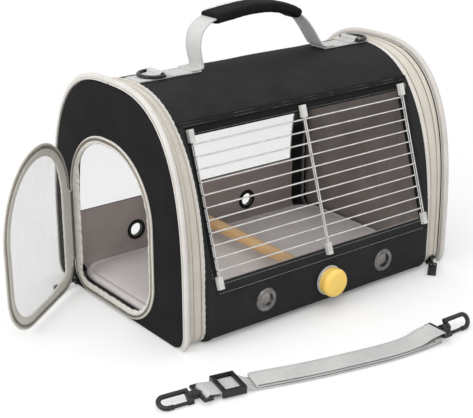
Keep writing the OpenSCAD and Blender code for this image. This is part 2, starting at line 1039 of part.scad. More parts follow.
module swung_open() {
    translate([hinge_x, hinge_y, 0])
        rotate([0, 0, -door_open])
            translate([-hinge_x, -hinge_y, 0])
                children();
}

module door_rim() {
    color(binding_grey)
        swung_open()
            door_ring(teeth_width, teeth_width + rim_width, rim_thickness);
}

module door_mesh() {
    color(clear)
        swung_open()
            door_ring(teeth_width + rim_width, 0, mesh);
}

module door_zip_tape() {
    color(cloth_cream)
        swung_open()
            door_ring(0, teeth_width, rim_thickness - 1);
}

module door_hinge_flap() {
    low = doorway_low + doorway_radii[1] + 3;
    high = doorway_high - doorway_radii[2] - 4;
    tongue = 0.8;
    face = -half_length - binding_out;
    color(binding_grey) {
        rod([hinge_x, hinge_y, low], [hinge_x, hinge_y, high], flap_roll);
        translate([face - flap_thickness, hinge_y - tongue / 2, low])
            cube([flap_thickness, binding_width, high - low]);
        translate([hinge_x, hinge_y - tongue / 2, low])
            cube([face - hinge_x, tongue, high - low]);
    }
}

// The door's smaller slider, parked at the zip's end under the door's back corner
door_zip_scale = 0.8;
door_heading = 150;
door_lug = [-half_length - binding_out - door_zip_scale * lug_height, hinge_y - 2.5, 9.5];

module door_zip_slider() {
    color(plastic_black)
        difference() {
            translate([-half_length - binding_out, door_lug[1], door_lug[2]])
                rotate([0, -90, 0])
                    rotate([0, 0, 90])
                        scale(door_zip_scale)
                            slider_body();
            translate(door_lug)
                scale(door_zip_scale)
                    pull_bore(door_heading);
        }
}

module door_zip_pull() {
    color(plastic_black)
        translate(door_lug)
            rotate([0, 0, door_heading + 90])
                rotate([pull_drop(door_lug[2], door_zip_scale), 0, 0])
                    scale(door_zip_scale)
                        zip_pull();
}

// Shoulder strap, lying folded on the floor in front of the carrier

// The strap's route seen from above, from the left eye to the right eye
strap_route = [
    [-234, -217], [-208, -221], [-180, -229], [-125, -246], [-80, -257], [-33, -267], [3, -271], [38, -272]
];
// Places along the route, counted in its points: the slider, the ends of the straight run and the two folds
slider_place = 1;
run_start = 0.55;
run_end = 1.6;
left_fold = 2;
right_fold = 6.9;
// Distance between the route's points at its left and right ends
unit_left = 26;
unit_right = 36;
fold_steps = 6;
wrap_steps = 8;
layer_steps = 8;
eye_rod = 4;
eye_wrap = eye_rod / 2 + strap_thickness / 2 + cloth_gap;
fold_radius = layer_pitch / 2;
low_layer = strap_thickness / 2;
mid_layer = low_layer + layer_pitch;
top_layer = mid_layer + layer_pitch;
slide_level = top_layer - 0.7;
left_axis_height = collar_radius + 2 * join;
right_axis_height = mid_layer + strap_thickness + cloth_gap + eye_wrap;

// Points spread evenly between two places of the route, at one height
function level_run(from, to, height) =
    [for (k = [0 : layer_steps]) [from + (to - from) * k / layer_steps, height]];

// The webbing's path as [place along the route, height], from its sewn left end to its sewn right end
strap_profile = concat(
    [[0.5, left_axis_height - eye_wrap], [0.25, left_axis_height - eye_wrap]],
    [for (k = [0 : wrap_steps])
        let (t = -90 - 180 * k / wrap_steps)
        [eye_wrap * cos(t) / unit_left, left_axis_height + eye_wrap * sin(t)]],
    [[0.35, slide_level + 0.6], [run_start, slide_level], [run_end, slide_level]],
    [[left_fold - 0.15, low_layer + 1.2], [left_fold + 0.25, low_layer]],
    level_run(left_fold + 0.6, right_fold - 0.2, low_layer),
    [for (k = [0 : fold_steps])
        let (t = -90 + 180 * k / fold_steps)
        [right_fold + fold_radius * cos(t) / unit_right, low_layer + fold_radius * (1 + sin(t))]],
    level_run(right_fold - 0.3, left_fold + 0.2, mid_layer),
    [for (k = [0 : fold_steps])
        let (t = -90 - 180 * k / fold_steps)
        [left_fold + fold_radius * cos(t) / unit_left, mid_layer + fold_radius * (1 + sin(t))]],
    level_run(left_fold + 0.2, right_fold - 1.2, top_layer),
    [[6.1, top_layer + 1], [6.5, right_axis_height + eye_wrap - 1.2]],
    [for (k = [0 : wrap_steps])
        let (t = 90 - 180 * k / wrap_steps)
        [7 + eye_wrap * cos(t) / unit_right, right_axis_height + eye_wrap * sin(t)]],
    [[6.85, right_axis_height - eye_wrap], [6.65, right_axis_height - eye_wrap]]
);

function route_heading(u) = unit(spline_at(strap_route, u + 0.05) - spline_at(strap_route, u - 0.05));
function route_side(u) = let (h = route_heading(u)) [-h[1], h[0], 0];
// Past the ends of the route the strap runs straight on
function route_point(u, z) =
    let (v = min(max(u, 0.001), 6.999))
    let (p = spline_at(strap_route, v), h = route_heading(v))
    let (over = (u - v) * (u < v ? unit_left : unit_right))
    [p[0] + h[0] * over, p[1] + h[1] * over, z];

module strap_webbing() {
    path = [for (p = strap_profile) route_point(p[0], p[1])];
    across = [for (p = strap_profile) route_side(min(max(p[0], 0.06), 6.94))];
    color(strap_grey)
        skin(sweep_rings(path, across, box_outline(strap_width, strap_thickness)));
}

// The slider buckle: end bars over the webbing, centre bar under it
module strap_slider() {
    p = route_point(slider_place, slide_level);
    h = route_heading(slider_place);
    bar = 4;
    thickness = 3;
    half = 11;
    side = strap_width / 2 + 1.2;
    lift = strap_thickness / 2 + cloth_gap + thickness / 2;
    color(plastic_black)
        translate(p)
            rotate([0, 0, atan2(h[1], h[0])]) {
                for (place = [[-half, lift], [0, -lift], [half, lift]])
                    translate([place[0] - bar / 2, -side, place[1] - thickness / 2])
                        cube([bar, 2 * side, thickness]);
                for (y = [-side - thickness, side])
                    translate([-half - bar / 2, y, -lift - thickness / 2])
                        cube([2 * half + bar, thickness, 2 * lift + thickness]);
            }
}

// The swivel eye: its webbing bar on the Y axis, the hook leaving towards +X
eye_length = 15;
// Where the swivel's recess ends inside the collar
head_gap = 8.2;
shank_radius = 2.2;
head_radius = 3.4;
head_length = 2.6;

module strap_eye() {
    side = strap_width / 2 + eye_rod / 2 + cloth_gap;
    cross_x = head_gap - 0.7;
    rod([0, -side, 0], [0, side, 0], eye_rod / 2);
    difference() {
        union() {
            for (y = [-side, side]) {
                ball([0, y, 0], eye_rod / 2);
                rod([0, y, 0], [cross_x, y, 0], eye_rod / 2);
                ball([cross_x, y, 0], eye_rod / 2);
            }
            rod([cross_x, -side, 0], [cross_x, side, 0], eye_rod / 2);
            rod([head_gap, 0, 0], [eye_length, 0, 0], collar_radius);
        }
        rod([eye_rod / 2, 0, 0], [head_gap, 0, 0], head_radius + cloth_gap);
        rod([eye_rod / 2, 0, 0], [eye_length + 1, 0, 0], shank_radius + running_fit);
    }
}

// The hook, along +X from its swivel collar's end face; its bow lies in the XY plane
hook_radius = hook_rod / 2;
base_x = 0.4;
base_length = 4;
gate_radius = 1.9;
knuckle_radius = 2.1;
tongue_half = 0.9;
pin_x = 5.6;
pin_radius = 0.8;
cheek_end = 7.4;
bow_x = hook_length - hook_bow - hook_radius;
nose_x = bow_x - 5;

module hook() {
    head_end = head_gap - eye_length - cloth_gap;
    web = hook_rod - 0.8;
    slot = 2 * (tongue_half + cloth_gap);
    difference() {
        union() {
            // Shank with its head, and the base that carries the bow and the gate
            rotate([0, 90, 0])
                rotate_extrude($fn = round_steps)
                    polygon([
                        [0, head_end - head_length], [head_radius, head_end - head_length],
                        [head_radius, head_end], [shank_radius, head_end], [shank_radius, base_x],
                        [collar_radius, base_x], [collar_radius, base_x + base_length],
                        [0, base_x + base_length]
                    ]);
            translate([base_x + 0.6, -hook_bow, -web / 2])
                cube([base_length, 2 * hook_bow, web]);
            rod([base_x + 0.6, -hook_bow, 0], [cheek_end, -hook_bow, 0], hook_radius);
            rod([base_x + 0.6, hook_bow, 0], [bow_x, hook_bow, 0], hook_radius);
            translate([bow_x, 0, 0])
                rotate([0, 0, -90])
                    rotate_extrude(angle = 180, $fn = 2 * round_steps)
                        translate([hook_bow, 0])
                            circle(r = hook_radius, $fn = round_steps);
            rod([nose_x, -hook_bow, 0], [bow_x, -hook_bow, 0], hook_radius);
        }
        // Slot for the gate, with room for it to turn
        translate([pin_x - knuckle_radius - cloth_gap, -2 * hook_bow, -slot / 2])
            cube([hook_bow, 2 * hook_bow - base_length, slot]);
    }
    rod([pin_x, -hook_bow, -2], [pin_x, -hook_bow, 2], pin_radius);
}

// The sprung gate, from its pin to just short of the hook's nose
module gate() {
    arm_x = pin_x + 3.6;
    difference() {
        union() {
            rod([pin_x, -hook_bow, -tongue_half], [pin_x, -hook_bow, tongue_half], knuckle_radius);
            translate([pin_x, -hook_bow - gate_radius + 0.3, -tongue_half])
                cube([4.5, 2 * gate_radius - 0.6, 2 * tongue_half]);
            rod([arm_x, -hook_bow, 0], [nose_x - cloth_gap, -hook_bow, 0], gate_radius);
        }
        rod([pin_x, -hook_bow, -3], [pin_x, -hook_bow, 3], pin_radius + running_fit);
    }
}

// Each hook leans over until its nose rests on the floor
left_lean = 180 - asin((left_axis_height - hook_radius) / hook_bow);
right_lean = asin((right_axis_height - hook_radius) / hook_bow);

// Places a piece at the left or right end of the strap; reach moves it out along the swivel's axis
module at_left_end(reach, lean) {
    h = route_heading(0.06);
    translate([strap_route[0][0], strap_route[0][1], left_axis_height])
        rotate([0, 0, atan2(-h[1], -h[0])])
            translate([reach, 0, 0])
                rotate([lean, 0, 0])
                    children();
}

module at_right_end(reach, lean) {
    h = route_heading(6.94);
    last = strap_route[len(strap_route) - 1];
    translate([last[0], last[1], right_axis_height])
        rotate([0, 0, atan2(h[1], h[0])])
            translate([reach, 0, 0])
                rotate([lean, 0, 0])
                    children();
}

module left_strap_eye() {
    color(plastic_black)
        at_left_end(0, 0)
            strap_eye();
}

module left_hook() {
    color(plastic_black)
        at_left_end(eye_length, left_lean)
            hook();
}

module left_gate() {
    color(plastic_black)
        at_left_end(eye_length, left_lean)
            gate();
}

module right_strap_eye() {
    color(plastic_black)
        at_right_end(0, 0)
            strap_eye();
}

module right_hook() {
    color(plastic_black)
        at_right_end(eye_length, right_lean)
            hook();
}

module right_gate() {
    color(plastic_black)
        at_right_end(eye_length, right_lean)
            gate();
}

base_cover();
base_board();
roof_panel();
front_panel();
left_front_post();
right_front_post();
back_panel();
back_window();
roof_lining();
front_lining();
back_lining();
left_band();
right_band();
left_hoop();
right_hoop();
left_zip_coil();
right_zip_coil();
grille_bars();
grille_uprights();
grille_clips();
upper_film();
lower_film();
front_eyelets();
back_eyelets();
perch();
perch_stud();
front_knob();
rear_knob();
floor_mat();
ridge_webbing();
left_d_ring();
right_d_ring();
handle_webbing();
handle_grip();
left_zip_slider();
left_zip_pull();
right_zip_slider();
right_zip_pull();
left_end_panel();
left_end_piping();
left_end_lining();
doorway_binding();
door_zip_slider();
door_zip_pull();
door_hinge_flap();
door_rim();
door_mesh();
door_zip_tape();
right_end_panel();
right_end_piping();
right_end_lining();
strap_webbing();
strap_slider();
left_strap_eye();
left_hook();
left_gate();
right_strap_eye();
right_hook();
right_gate();
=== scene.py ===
import bmesh
import bpy
import numpy as np
from math import atan2, copysign, cos, degrees, pi, radians, sin, sqrt
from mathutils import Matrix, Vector, noise


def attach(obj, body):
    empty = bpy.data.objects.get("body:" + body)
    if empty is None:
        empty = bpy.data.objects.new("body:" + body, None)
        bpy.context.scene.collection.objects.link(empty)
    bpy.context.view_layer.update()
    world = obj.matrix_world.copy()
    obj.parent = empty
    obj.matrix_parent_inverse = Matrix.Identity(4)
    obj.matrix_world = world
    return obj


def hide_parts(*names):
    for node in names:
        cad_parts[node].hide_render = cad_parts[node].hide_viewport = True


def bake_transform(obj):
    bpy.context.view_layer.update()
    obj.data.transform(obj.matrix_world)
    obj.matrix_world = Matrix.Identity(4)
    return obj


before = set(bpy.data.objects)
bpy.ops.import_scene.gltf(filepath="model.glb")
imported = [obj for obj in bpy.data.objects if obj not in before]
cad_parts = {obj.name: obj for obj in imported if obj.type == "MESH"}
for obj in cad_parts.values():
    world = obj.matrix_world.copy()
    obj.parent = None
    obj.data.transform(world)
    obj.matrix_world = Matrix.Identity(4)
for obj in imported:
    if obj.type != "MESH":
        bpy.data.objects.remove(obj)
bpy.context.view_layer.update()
scene = bpy.context.scene
MM = 0.001

# Sizes and places of the carrier in millimetres, in the frame of part.scad
# END and ROOF: half depth, height, roundness. DOORWAY and DOOR: box in Y and Z, radius of each corner
HALF_LENGTH, HALF_DEPTH = 200.0, 131.0
SPRING, CORNER = 50.0, 20.0
END, ROOF = (131.0, 268.0, 2.85), (131.0, 267.0, 2.4)
BAND_IN, BAND_OUT, COIL_OUT, POST_IN = 169.8, 190.3, 191.5, 158.8
FRONT_REACH, FRONT_TOP, HEM = 137.0, 72.0, 232.0
FACE_REACH, HEM_REACH = 134.5, 82.0152
SLOPE = (FACE_REACH - HEM_REACH) / (HEM - FRONT_TOP)
BACK_TOP, WINDOW_TOP = 77.0, 214.0
EYELET_Z, EYELETS, EYELET_HOLE = 34.0, (-90.0, 0.0, 90.0), 10.4
DOORWAY = ([-80.0, 91.0, 3.0, 206.0], [56.0, 30.0, 80.0, 80.0])
DOOR = ([-80.0, 86.9, 5.0, 203.0], [56.0, 28.0, 76.0, 88.0])
HINGE_X, HINGE_Y = -204.4, 88.5
DOOR_OPEN, DOOR_DROOP = radians(54), 0.02
KNOB = (0, -138.86, 34)
EDGE_FOOT, STRIP_FOOT, STRIP_SEAM, GRILLE_HALF = 58.5, 222.4, 224.4, 152.4
UPPER_FILM, LOWER_FILM, FILM_HALF = (210, 229.6), (59, 82), 151.1
CLOTH, LINING, LINING_IN, SEAM_HALF, HOLE_DEPTH = 2.3, 0.5, 2.5, 156, 9
LINING_X, TAPE_X, PIPING_X, PIPING_OUT = 197.4, (192.6, 195.0, 197.4), 196.4, 3.6
MAT_X, MAT_Y, MAT_CORNER, MAT_FOOT, MAT_THICK = 188, 113, 34, 5.7, 11
RIDGE_TOP, HANDLE_FOOT, WEBBING_WIDTH, STRAP_WIDTH = 268.0, 271, 28, 26
D_RINGS = ((-138.0, "left"), (152.0, "right"))
SIDES = ((-1, "left"), (1, "right"))

# The fitted camera: pixels of the photo, degrees, and metres
FOCAL_PX, PHOTO_PX, SENSOR = 1127.8, 473, 36
CAMERA_DOWN, CAMERA_HEADING, CAMERA_AT = 20.91, 52.28, (-0.809, -1.012, 0.574)

# Lamps: name, place and size in metres, power in watts
LAMPS = (("key", (-0.9, -1.3, 2.1), 1.2, 13), ("top", (0.3, 0.5, 2.4), 1.6, 8),
         ("left_fill", (-2.1, -0.1, 1.0), 1.4, 17))


def arch_point(sides, angle):
    """Point of an arch, where sides = (half depth, height, roundness of its shoulders)."""
    a = radians(angle)
    rise = sides[1] - SPRING
    across = (abs(cos(a)) / sides[0]) ** sides[2]
    upward = (abs(sin(a)) / rise) ** sides[2]
    reach = (across + upward) ** (-1 / sides[2])
    return (reach * cos(a), SPRING + reach * sin(a))


def reach_at(sides, z):
    """Distance of the section from its middle at a height."""
    if z < CORNER:
        return sides[0] - CORNER + sqrt(CORNER ** 2 - (CORNER - z) ** 2)
    t = max(z - SPRING, 0) / (sides[1] - SPRING)
    return sides[0] * (1 - t ** sides[2]) ** (1 / sides[2])


def angle_at(sides, z):
    return degrees(atan2(z - SPRING, reach_at(sides, z)))


def inset_sides(sides, depth):
    return (sides[0] - depth, sides[1] - depth, sides[2])


def low_corner(reach, radius, steps=9):
    """The section's rounded lower corner."""
    return [(reach - CORNER + radius * cos(t), CORNER + radius * sin(t))
            for t in np.linspace(-pi / 2, 0, steps)]


def section(sides, steps=110, corner=8):
    """The whole section, from the lower back corner over the ridge to the lower front corner."""
    low = low_corner(sides[0], CORNER, corner)
    arch = [arch_point(sides, a) for a in np.linspace(0, 180, steps)]
    return low + arch + [(-y, z) for y, z in reversed(low)]


def front_at(z):
    """Reach of the front face at a height: lower panel, a short turn, then the sloped face."""
    if z < CORNER:
        return FRONT_REACH - CORNER + sqrt(CORNER ** 2 - (CORNER - z) ** 2)
    if z < FRONT_TOP - 6:
        return FRONT_REACH
    sloped = FACE_REACH - SLOPE * (max(z, FRONT_TOP + 2) - FRONT_TOP)
    return FRONT_REACH + (sloped - FRONT_REACH) * min((z - FRONT_TOP + 6) / 8, 1)


def round_outline(box, radii, inset, steps=24):
    """A box (y0, y1, z0, z1) with a radius for each corner, drawn inward by inset."""
    ys = [box[0] + radii[0], box[1] - radii[1], box[1] - radii[2], box[0] + radii[3]]
    zs = [box[2] + radii[0], box[2] + radii[1], box[3] - radii[2], box[3] - radii[3]]
    out = []
    for c in range(4):
        for k in range(steps + 1):
            t = radians(180 + 90 * c + 90 * k / steps)
            r = radii[c] - inset
            out.append((ys[c] + r * cos(t), zs[c] + r * sin(t)))
    return out


def lengths(points):
    """Distance of each point along its path."""
    p = np.array(points, float)
    return np.r_[0, np.cumsum(np.linalg.norm(np.diff(p, axis=0), axis=1))]


def along(points, marks, at):
    """Points of a path at given distances, where marks are the distances of its own points."""
    p = np.array(points, float)
    return np.stack([np.interp(at, marks, p[:, k]) for k in range(p.shape[1])], -1)


def run_length(points):
    return float(lengths(points)[-1])


def even_loop(points, count):
    """A closed outline walked at even steps, its first point again at the end."""
    p = np.array(points + points[:1], float)
    p = p[np.r_[True, np.linalg.norm(np.diff(p, axis=0), axis=1) > 1e-6]]
    d = lengths(p)
    return along(p, d, np.linspace(0, d[-1], count + 1))


def wobble(x, y, z, size, seed=0.0):
    """Smooth noise from -1 to 1 with features of the given size."""
    return noise.noise(Vector((x / size + seed, y / size - seed, z / size + 2 * seed)))


def waves(grid, parts):
    """Bulge over a grid of points: parts = (height, size, seed)."""
    return np.array([[sum(h * wobble(*p, size, seed) for h, size, seed in parts) for p in row]
                     for row in grid])


def settle(count):
    """0 at both ends of a row of points, and 1 from the fourth point inward."""
    k = np.arange(count)
    return np.minimum(1, np.minimum(k, k[::-1]) / 4.0)


def across_x(rows, half, count):
    """A grid of points: one section, repeated from -half to half along X."""
    return np.array([[(x, y, z) for y, z in rows] for x in np.linspace(-half, half, count)])


def row_x(half, y, z, count=90):
    """A straight row of points along X."""
    return [(x, y, z) for x in np.linspace(-half, half, count)]


# Materials

def lin(r, g, b):
    """A screen colour from 0 to 255 as the shaders' linear colour."""
    return tuple(c / 255 / 12.92 if c <= 10 else ((c / 255 + 0.055) / 1.055) ** 2.4
                 for c in (r, g, b)) + (1.0,)


class Nodes:
    """Shorthand for building a node tree."""

    def __init__(self, tree):
        self.nodes, self.links = tree.nodes, tree.links
        self.nodes.clear()

    def put(self, socket, value):
        if isinstance(value, (int, float, tuple)):
            socket.default_value = value
        else:
            self.links.new(value, socket)

    def node(self, kind, inputs, out=0, **settings):
        """Adds a node with its settings and inputs, and gives one of its outputs."""
        node = self.nodes.new("ShaderNode" + kind)
        for name, value in settings.items():
            setattr(node, name, value)
        for name, value in inputs.items():
            self.put(node.inputs[name], value)
        return node.outputs[out] if node.outputs else node

    def math(self, kind, a, b):
        return self.node("Math", {0: a, 1: b}, operation=kind)

    def seen_directly(self):
        """1 for rays that show the floor or the world themselves, 0 for rays that light something."""
        path = self.nodes.new("ShaderNodeLightPath").outputs
        mirrored = self.math("MAXIMUM", path["Is Camera Ray"], path["Is Glossy Ray"])
        return self.math("MAXIMUM", mirrored, path["Is Transmission Ray"])


class Shader(Nodes):
    """One material's nodes, around a Principled shader."""

    def __init__(self, name):
        self.material = bpy.data.materials.new(name)
        self.material.use_nodes = True
        super().__init__(self.material.node_tree)
        out = self.nodes.new("ShaderNodeOutputMaterial")
        self.main = self.nodes.new("ShaderNodeBsdfPrincipled")
        self.links.new(self.main.outputs[0], out.inputs[0])

    def set(self, **values):
        for name, value in values.items():
            self.put(self.main.inputs[name.replace("_", " ")], value)

    def coords(self, uv=False, scale=(1, 1, 1)):
        place = self.node("TexCoord", {}, "UV" if uv else "Object")
        return self.node("Mapping", {"Vector": place, "Scale": scale})

    def wave(self, vector, pitch, axis):
        """Stripes that repeat at a pitch in metres."""
        scale = 2 * pi / (20 * pitch)
        return self.node("TexWave", {"Vector": vector, "Scale": scale, "Distortion": 0.0}, "Fac",
                         wave_type="BANDS", bands_direction=axis, wave_profile="SIN")

    def noise(self, vector, size, detail=3.0, rough=0.55):
        """Noise with features of a size in metres."""
        inputs = {"Vector": vector, "Scale": 1 / size, "Detail": detail, "Roughness": rough}
        return self.node("TexNoise", inputs, "Fac")

    def mix(self, fac, a, b):
        return self.node("Mix", {0: fac, 6: a, 7: b}, 2, data_type="RGBA")

    def ramp(self, fac, low, high, a=0.0, b=1.0):
        """Takes low to a and high to b."""
        inputs = {"Value": fac, "From Min": low, "From Max": high, "To Min": a, "To Max": b}
        return self.node("MapRange", inputs)

    def both(self, a, share, b, rest):
        """The sum of two values, each with its own weight."""
        return self.math("ADD", self.math("MULTIPLY", a, share), self.math("MULTIPLY", b, rest))

    def bump(self, height, strength, distance):
        self.set(Normal=self.node("Bump", {"Height": height, "Strength": strength, "Distance": distance}))


def cloth(name, color, light, pitch=0.0008, rib=None, rough=0.8, sheen=0.12, depth=0.0003, shine=0.25):
    """Woven cloth: a two-way weave, soft blotches of wear, and ribs where the real tape has them."""
    s = Shader(name)
    uv, solid = s.coords(True), s.coords()
    weave = s.math("MAXIMUM", s.wave(uv, pitch, "X"), s.wave(uv, pitch, "Y"))
    if rib:
        weave = s.math("ADD", s.math("MULTIPLY", s.wave(uv, rib, "X"), 2.0), weave)
    blotch, fine = s.noise(solid, 0.035), s.noise(solid, 0.0015, 2.0)
    shade = s.both(blotch, 0.6, fine, 0.4)
    s.set(Base_Color=s.mix(s.ramp(shade, 0.36, 0.64), lin(*color), lin(*light)),
          Roughness=s.ramp(blotch, 0.3, 0.7, rough - 0.06, rough + 0.06),
          Sheen_Weight=sheen, Sheen_Roughness=0.4, Specular_IOR_Level=shine)
    s.bump(s.math("ADD", weave, s.math("MULTIPLY", fine, 0.8)), 0.35, depth)
    return s.material


def moulded(name, color, light, rough, metallic=0.0, grain=0.0009, depth=0.00008):
    """Plastic, enamel or metal with faint blotches and a fine grain."""
    s = Shader(name)
    at = s.coords()
    blotch = s.noise(at, 0.012)
    s.set(Base_Color=s.mix(s.ramp(blotch, 0.35, 0.65), lin(*color), lin(*light)),
          Roughness=s.ramp(blotch, 0.3, 0.7, rough - 0.05, rough + 0.05), Metallic=metallic)
    s.bump(s.noise(at, grain, 2.0), 0.2, depth)
    return s.material


def clear_sheet(name, haze):
    """Clear film: almost see-through face-on, with a gloss that grows at grazing angles."""
    s = Shader(name)
    grazing = s.node("LayerWeight", {"Blend": 0.2}, "Fresnel")
    scuff = s.noise(s.coords(), 0.03)
    s.set(Base_Color=lin(188, 190, 190), Roughness=s.ramp(scuff, 0.3, 0.7, 0.04, 0.09),
          Alpha=s.ramp(grazing, 0.0, 1.0, haze, 0.45))
    return s.material


def net(name):
    """Fine door net: thin dark grey threads both ways, with open holes between them."""
    s = Shader(name)
    at = s.coords(True)
    threads = s.math("MAXIMUM", s.wave(at, 0.0018, "X"), s.wave(at, 0.0018, "Y"))
    haze = s.noise(s.coords(), 0.05)
    s.set(Alpha=s.math("ADD", s.ramp(threads, 0.8, 1.0, 0.10, 0.6), s.ramp(haze, 0.3, 0.7, -0.02, 0.03)),
          Base_Color=s.mix(s.ramp(haze, 0.35, 0.65), lin(106, 108, 104), lin(124, 126, 121)),
          Roughness=0.75, Specular_IOR_Level=0.2)
    s.bump(threads, 0.4, 0.0004)
    return s.material


def beech(name):
    """Pale wood with streaks and pores that run along the perch."""
    s = Shader(name)
    streak = s.noise(s.coords(scale=(1, 0.06, 1)), 0.004, 5.0, 0.6)
    pores = s.noise(s.coords(scale=(1, 0.12, 1)), 0.0008, 2.0)
    mixed = s.both(streak, 0.75, pores, 0.25)
    s.set(Base_Color=s.mix(s.ramp(mixed, 0.36, 0.66), lin(230, 194, 142), lin(202, 158, 106)), Roughness=0.5)
    s.bump(mixed, 0.25, 0.0002)
    return s.material


DULL = {"rough": 0.75, "sheen": 0.0, "shine": 0.05}
MAT = {
    "black": cloth("black_cloth", (42, 42, 43), (52, 52, 53), 0.0007, **DULL),
    # A darker copy of the black cloth for both end panels: painted shade, to keep them dark under the left
    # fill lamp
    "end_black_shaded": cloth("end_black_shaded", (28, 28, 29), (38, 38, 39), 0.0007, **DULL),
    "black_trim": cloth("black_trim", (26, 26, 27), (36, 36, 37), 0.0009, 0.0024, 0.7, 0.0, shine=0.08),
    "lining": cloth("lining_cloth", (178, 168, 165), (194, 184, 180), 0.0007, rough=0.65, sheen=0.2),
    # A darker copy of the lining for the inside of the closed right end: painted shade
    "right_lining_shaded": cloth("right_lining_shaded", (132, 123, 119), (152, 142, 137), 0.0007, rough=0.65, sheen=0.2),
    "cream": cloth("cream_tape", (206, 198, 186), (218, 211, 200), 0.0009, 0.0019),
    # Painted shade: a dark tape whose colour stands for the shadow in the gaps between a band's tapes
    "shadow_tape": cloth("shadow_tape", (104, 98, 90), (122, 116, 107), 0.0009, 0.0019),
    "pale": cloth("pale_tape", (212, 208, 200), (224, 220, 213), 0.0009, 0.0015),
    "white": cloth("white_piping", (204, 200, 195), (218, 214, 209), 0.0011, 0.0028),
    "binding": cloth("grey_binding", (208, 205, 197), (222, 219, 211), 0.0009, 0.0021),
    "door_tape": cloth("door_tape", (212, 209, 199), (224, 221, 212), 0.0009, 0.0015),
    "mat": cloth("mat_cloth", (210, 203, 201), (222, 216, 214), 0.0012, rough=0.9, sheen=0.3),
    "webbing": cloth("pale_webbing", (193, 193, 191), (208, 208, 206), 0.0011, 0.0032),
    "strap": cloth("strap_webbing", (188, 188, 187), (203, 203, 201), 0.0011, 0.0037),
    "grip": cloth("grip_cloth", (22, 22, 23), (31, 31, 32), 0.0008, rough=0.72, sheen=0.0, shine=0.06),
    "thread": moulded("thread", (146, 146, 145), (174, 174, 172), 0.7),
    "pale_thread": moulded("pale_thread", (192, 186, 176), (212, 206, 197), 0.7),
    "teeth": moulded("zip_teeth", (58, 55, 52), (84, 80, 76), 0.45),
    "door_teeth": moulded("door_teeth", (100, 92, 84), (126, 117, 107), 0.5),
    "plastic": moulded("black_plastic", (14, 14, 15), (25, 25, 26), 0.4),
    "enamel": moulded("black_enamel", (24, 24, 24), (40, 40, 40), 0.35, 0.3),
    "steel": moulded("steel_wire", (206, 205, 203), (226, 225, 223), 0.24, 0.85),
    "eyelet": moulded("eyelet_metal", (100, 99, 99), (130, 129, 128), 0.26, 0.9),
    "dark_eyelet": moulded("dark_eyelet", (30, 29, 29), (44, 43, 43), 0.4, 0.6),
    "olive": moulded("olive_button", (96, 97, 78), (120, 121, 100), 0.35, 0.5),
    "collar": moulded("knob_collar", (160, 161, 162), (186, 187, 188), 0.35),
    "clips": moulded("pale_clips", (200, 199, 195), (218, 217, 213), 0.45),
    "yellow": moulded("yellow_plastic", (254, 210, 104), (255, 218, 116), 0.5),
    "board": moulded("floor_board", (52, 52, 52), (66, 66, 66), 0.8),
    "beech": beech("beech"),
    "film": clear_sheet("clear_film", 0.012),
    "window": clear_sheet("window_film", 0.1),
    "net": net("door_net"),
}


# Mesh helpers

def own(ob, body, slot=None, *nodes):
    """Puts a piece on its body, in place of its CAD nodes; its slot is not used."""
    if body:
        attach(ob, body)
    for node in nodes:
        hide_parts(node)
    return ob


def add_mesh(name, verts, faces, mat, body=None, uvs=None, slot=None, stands_for=(), smooth=True, sharp=None,
             place=None, tidy=False):
    """verts in millimetres, made into a piece in metres that rides on a body and stands for CAD nodes."""
    me = bpy.data.meshes.new(name)
    if place:
        verts = [place(v) for v in verts]
    me.from_pydata([tuple(float(c) * MM for c in v) for v in verts], [], faces)
    me.update()
    if uvs is not None:
        layer = me.uv_layers.new(name="UVMap")
        index = np.zeros(len(me.loops), np.int32)
        me.loops.foreach_get("vertex_index", index)
        layer.data.foreach_set("uv", (np.array(uvs, np.float32)[index] * MM).ravel())
    if tidy:
        bm = bmesh.new()
        bm.from_mesh(me)
        bmesh.ops.recalc_face_normals(bm, faces=bm.faces)
        bm.to_mesh(me)
        bm.free()
    me.materials.append(MAT[mat])
    me.polygons.foreach_set("use_smooth", [smooth] * len(me.polygons))
    if sharp is not None:
        me.set_sharp_from_angle(angle=radians(sharp))
    ob = bpy.data.objects.new(name, me)
    scene.collection.objects.link(ob)
    return own(ob, body, slot, *stands_for)


def tube_faces(rings, around, closed=True, flip=False):
    """The quads of a tube whose rings all have the same number of points."""
    faces = []
    for i in range(rings if closed else rings - 1):
        a, b = i * around, (i + 1) % rings * around
        for j in range(around):
            k = (j + 1) % around
            faces.append((a + j, b + j, b + k, a + k) if flip else (a + j, a + k, b + k, b + j))
    return faces


def cap(ring, around, start=True):
    """The face that closes a tube at one of its rings."""
    points = range(ring * around, (ring + 1) * around)
    return tuple(reversed(points)) if start else tuple(points)


def normals_of(grid, wrap_u=False):
    """Unit normals of a grid of points, which may close on itself."""
    if wrap_u:
        du = np.roll(grid, -1, 0) - np.roll(grid, 1, 0)
    else:
        du = np.gradient(grid, axis=0)
    n = np.cross(du, np.gradient(grid, axis=1))
    return n / np.maximum(np.linalg.norm(n, axis=2, keepdims=True), 1e-9)


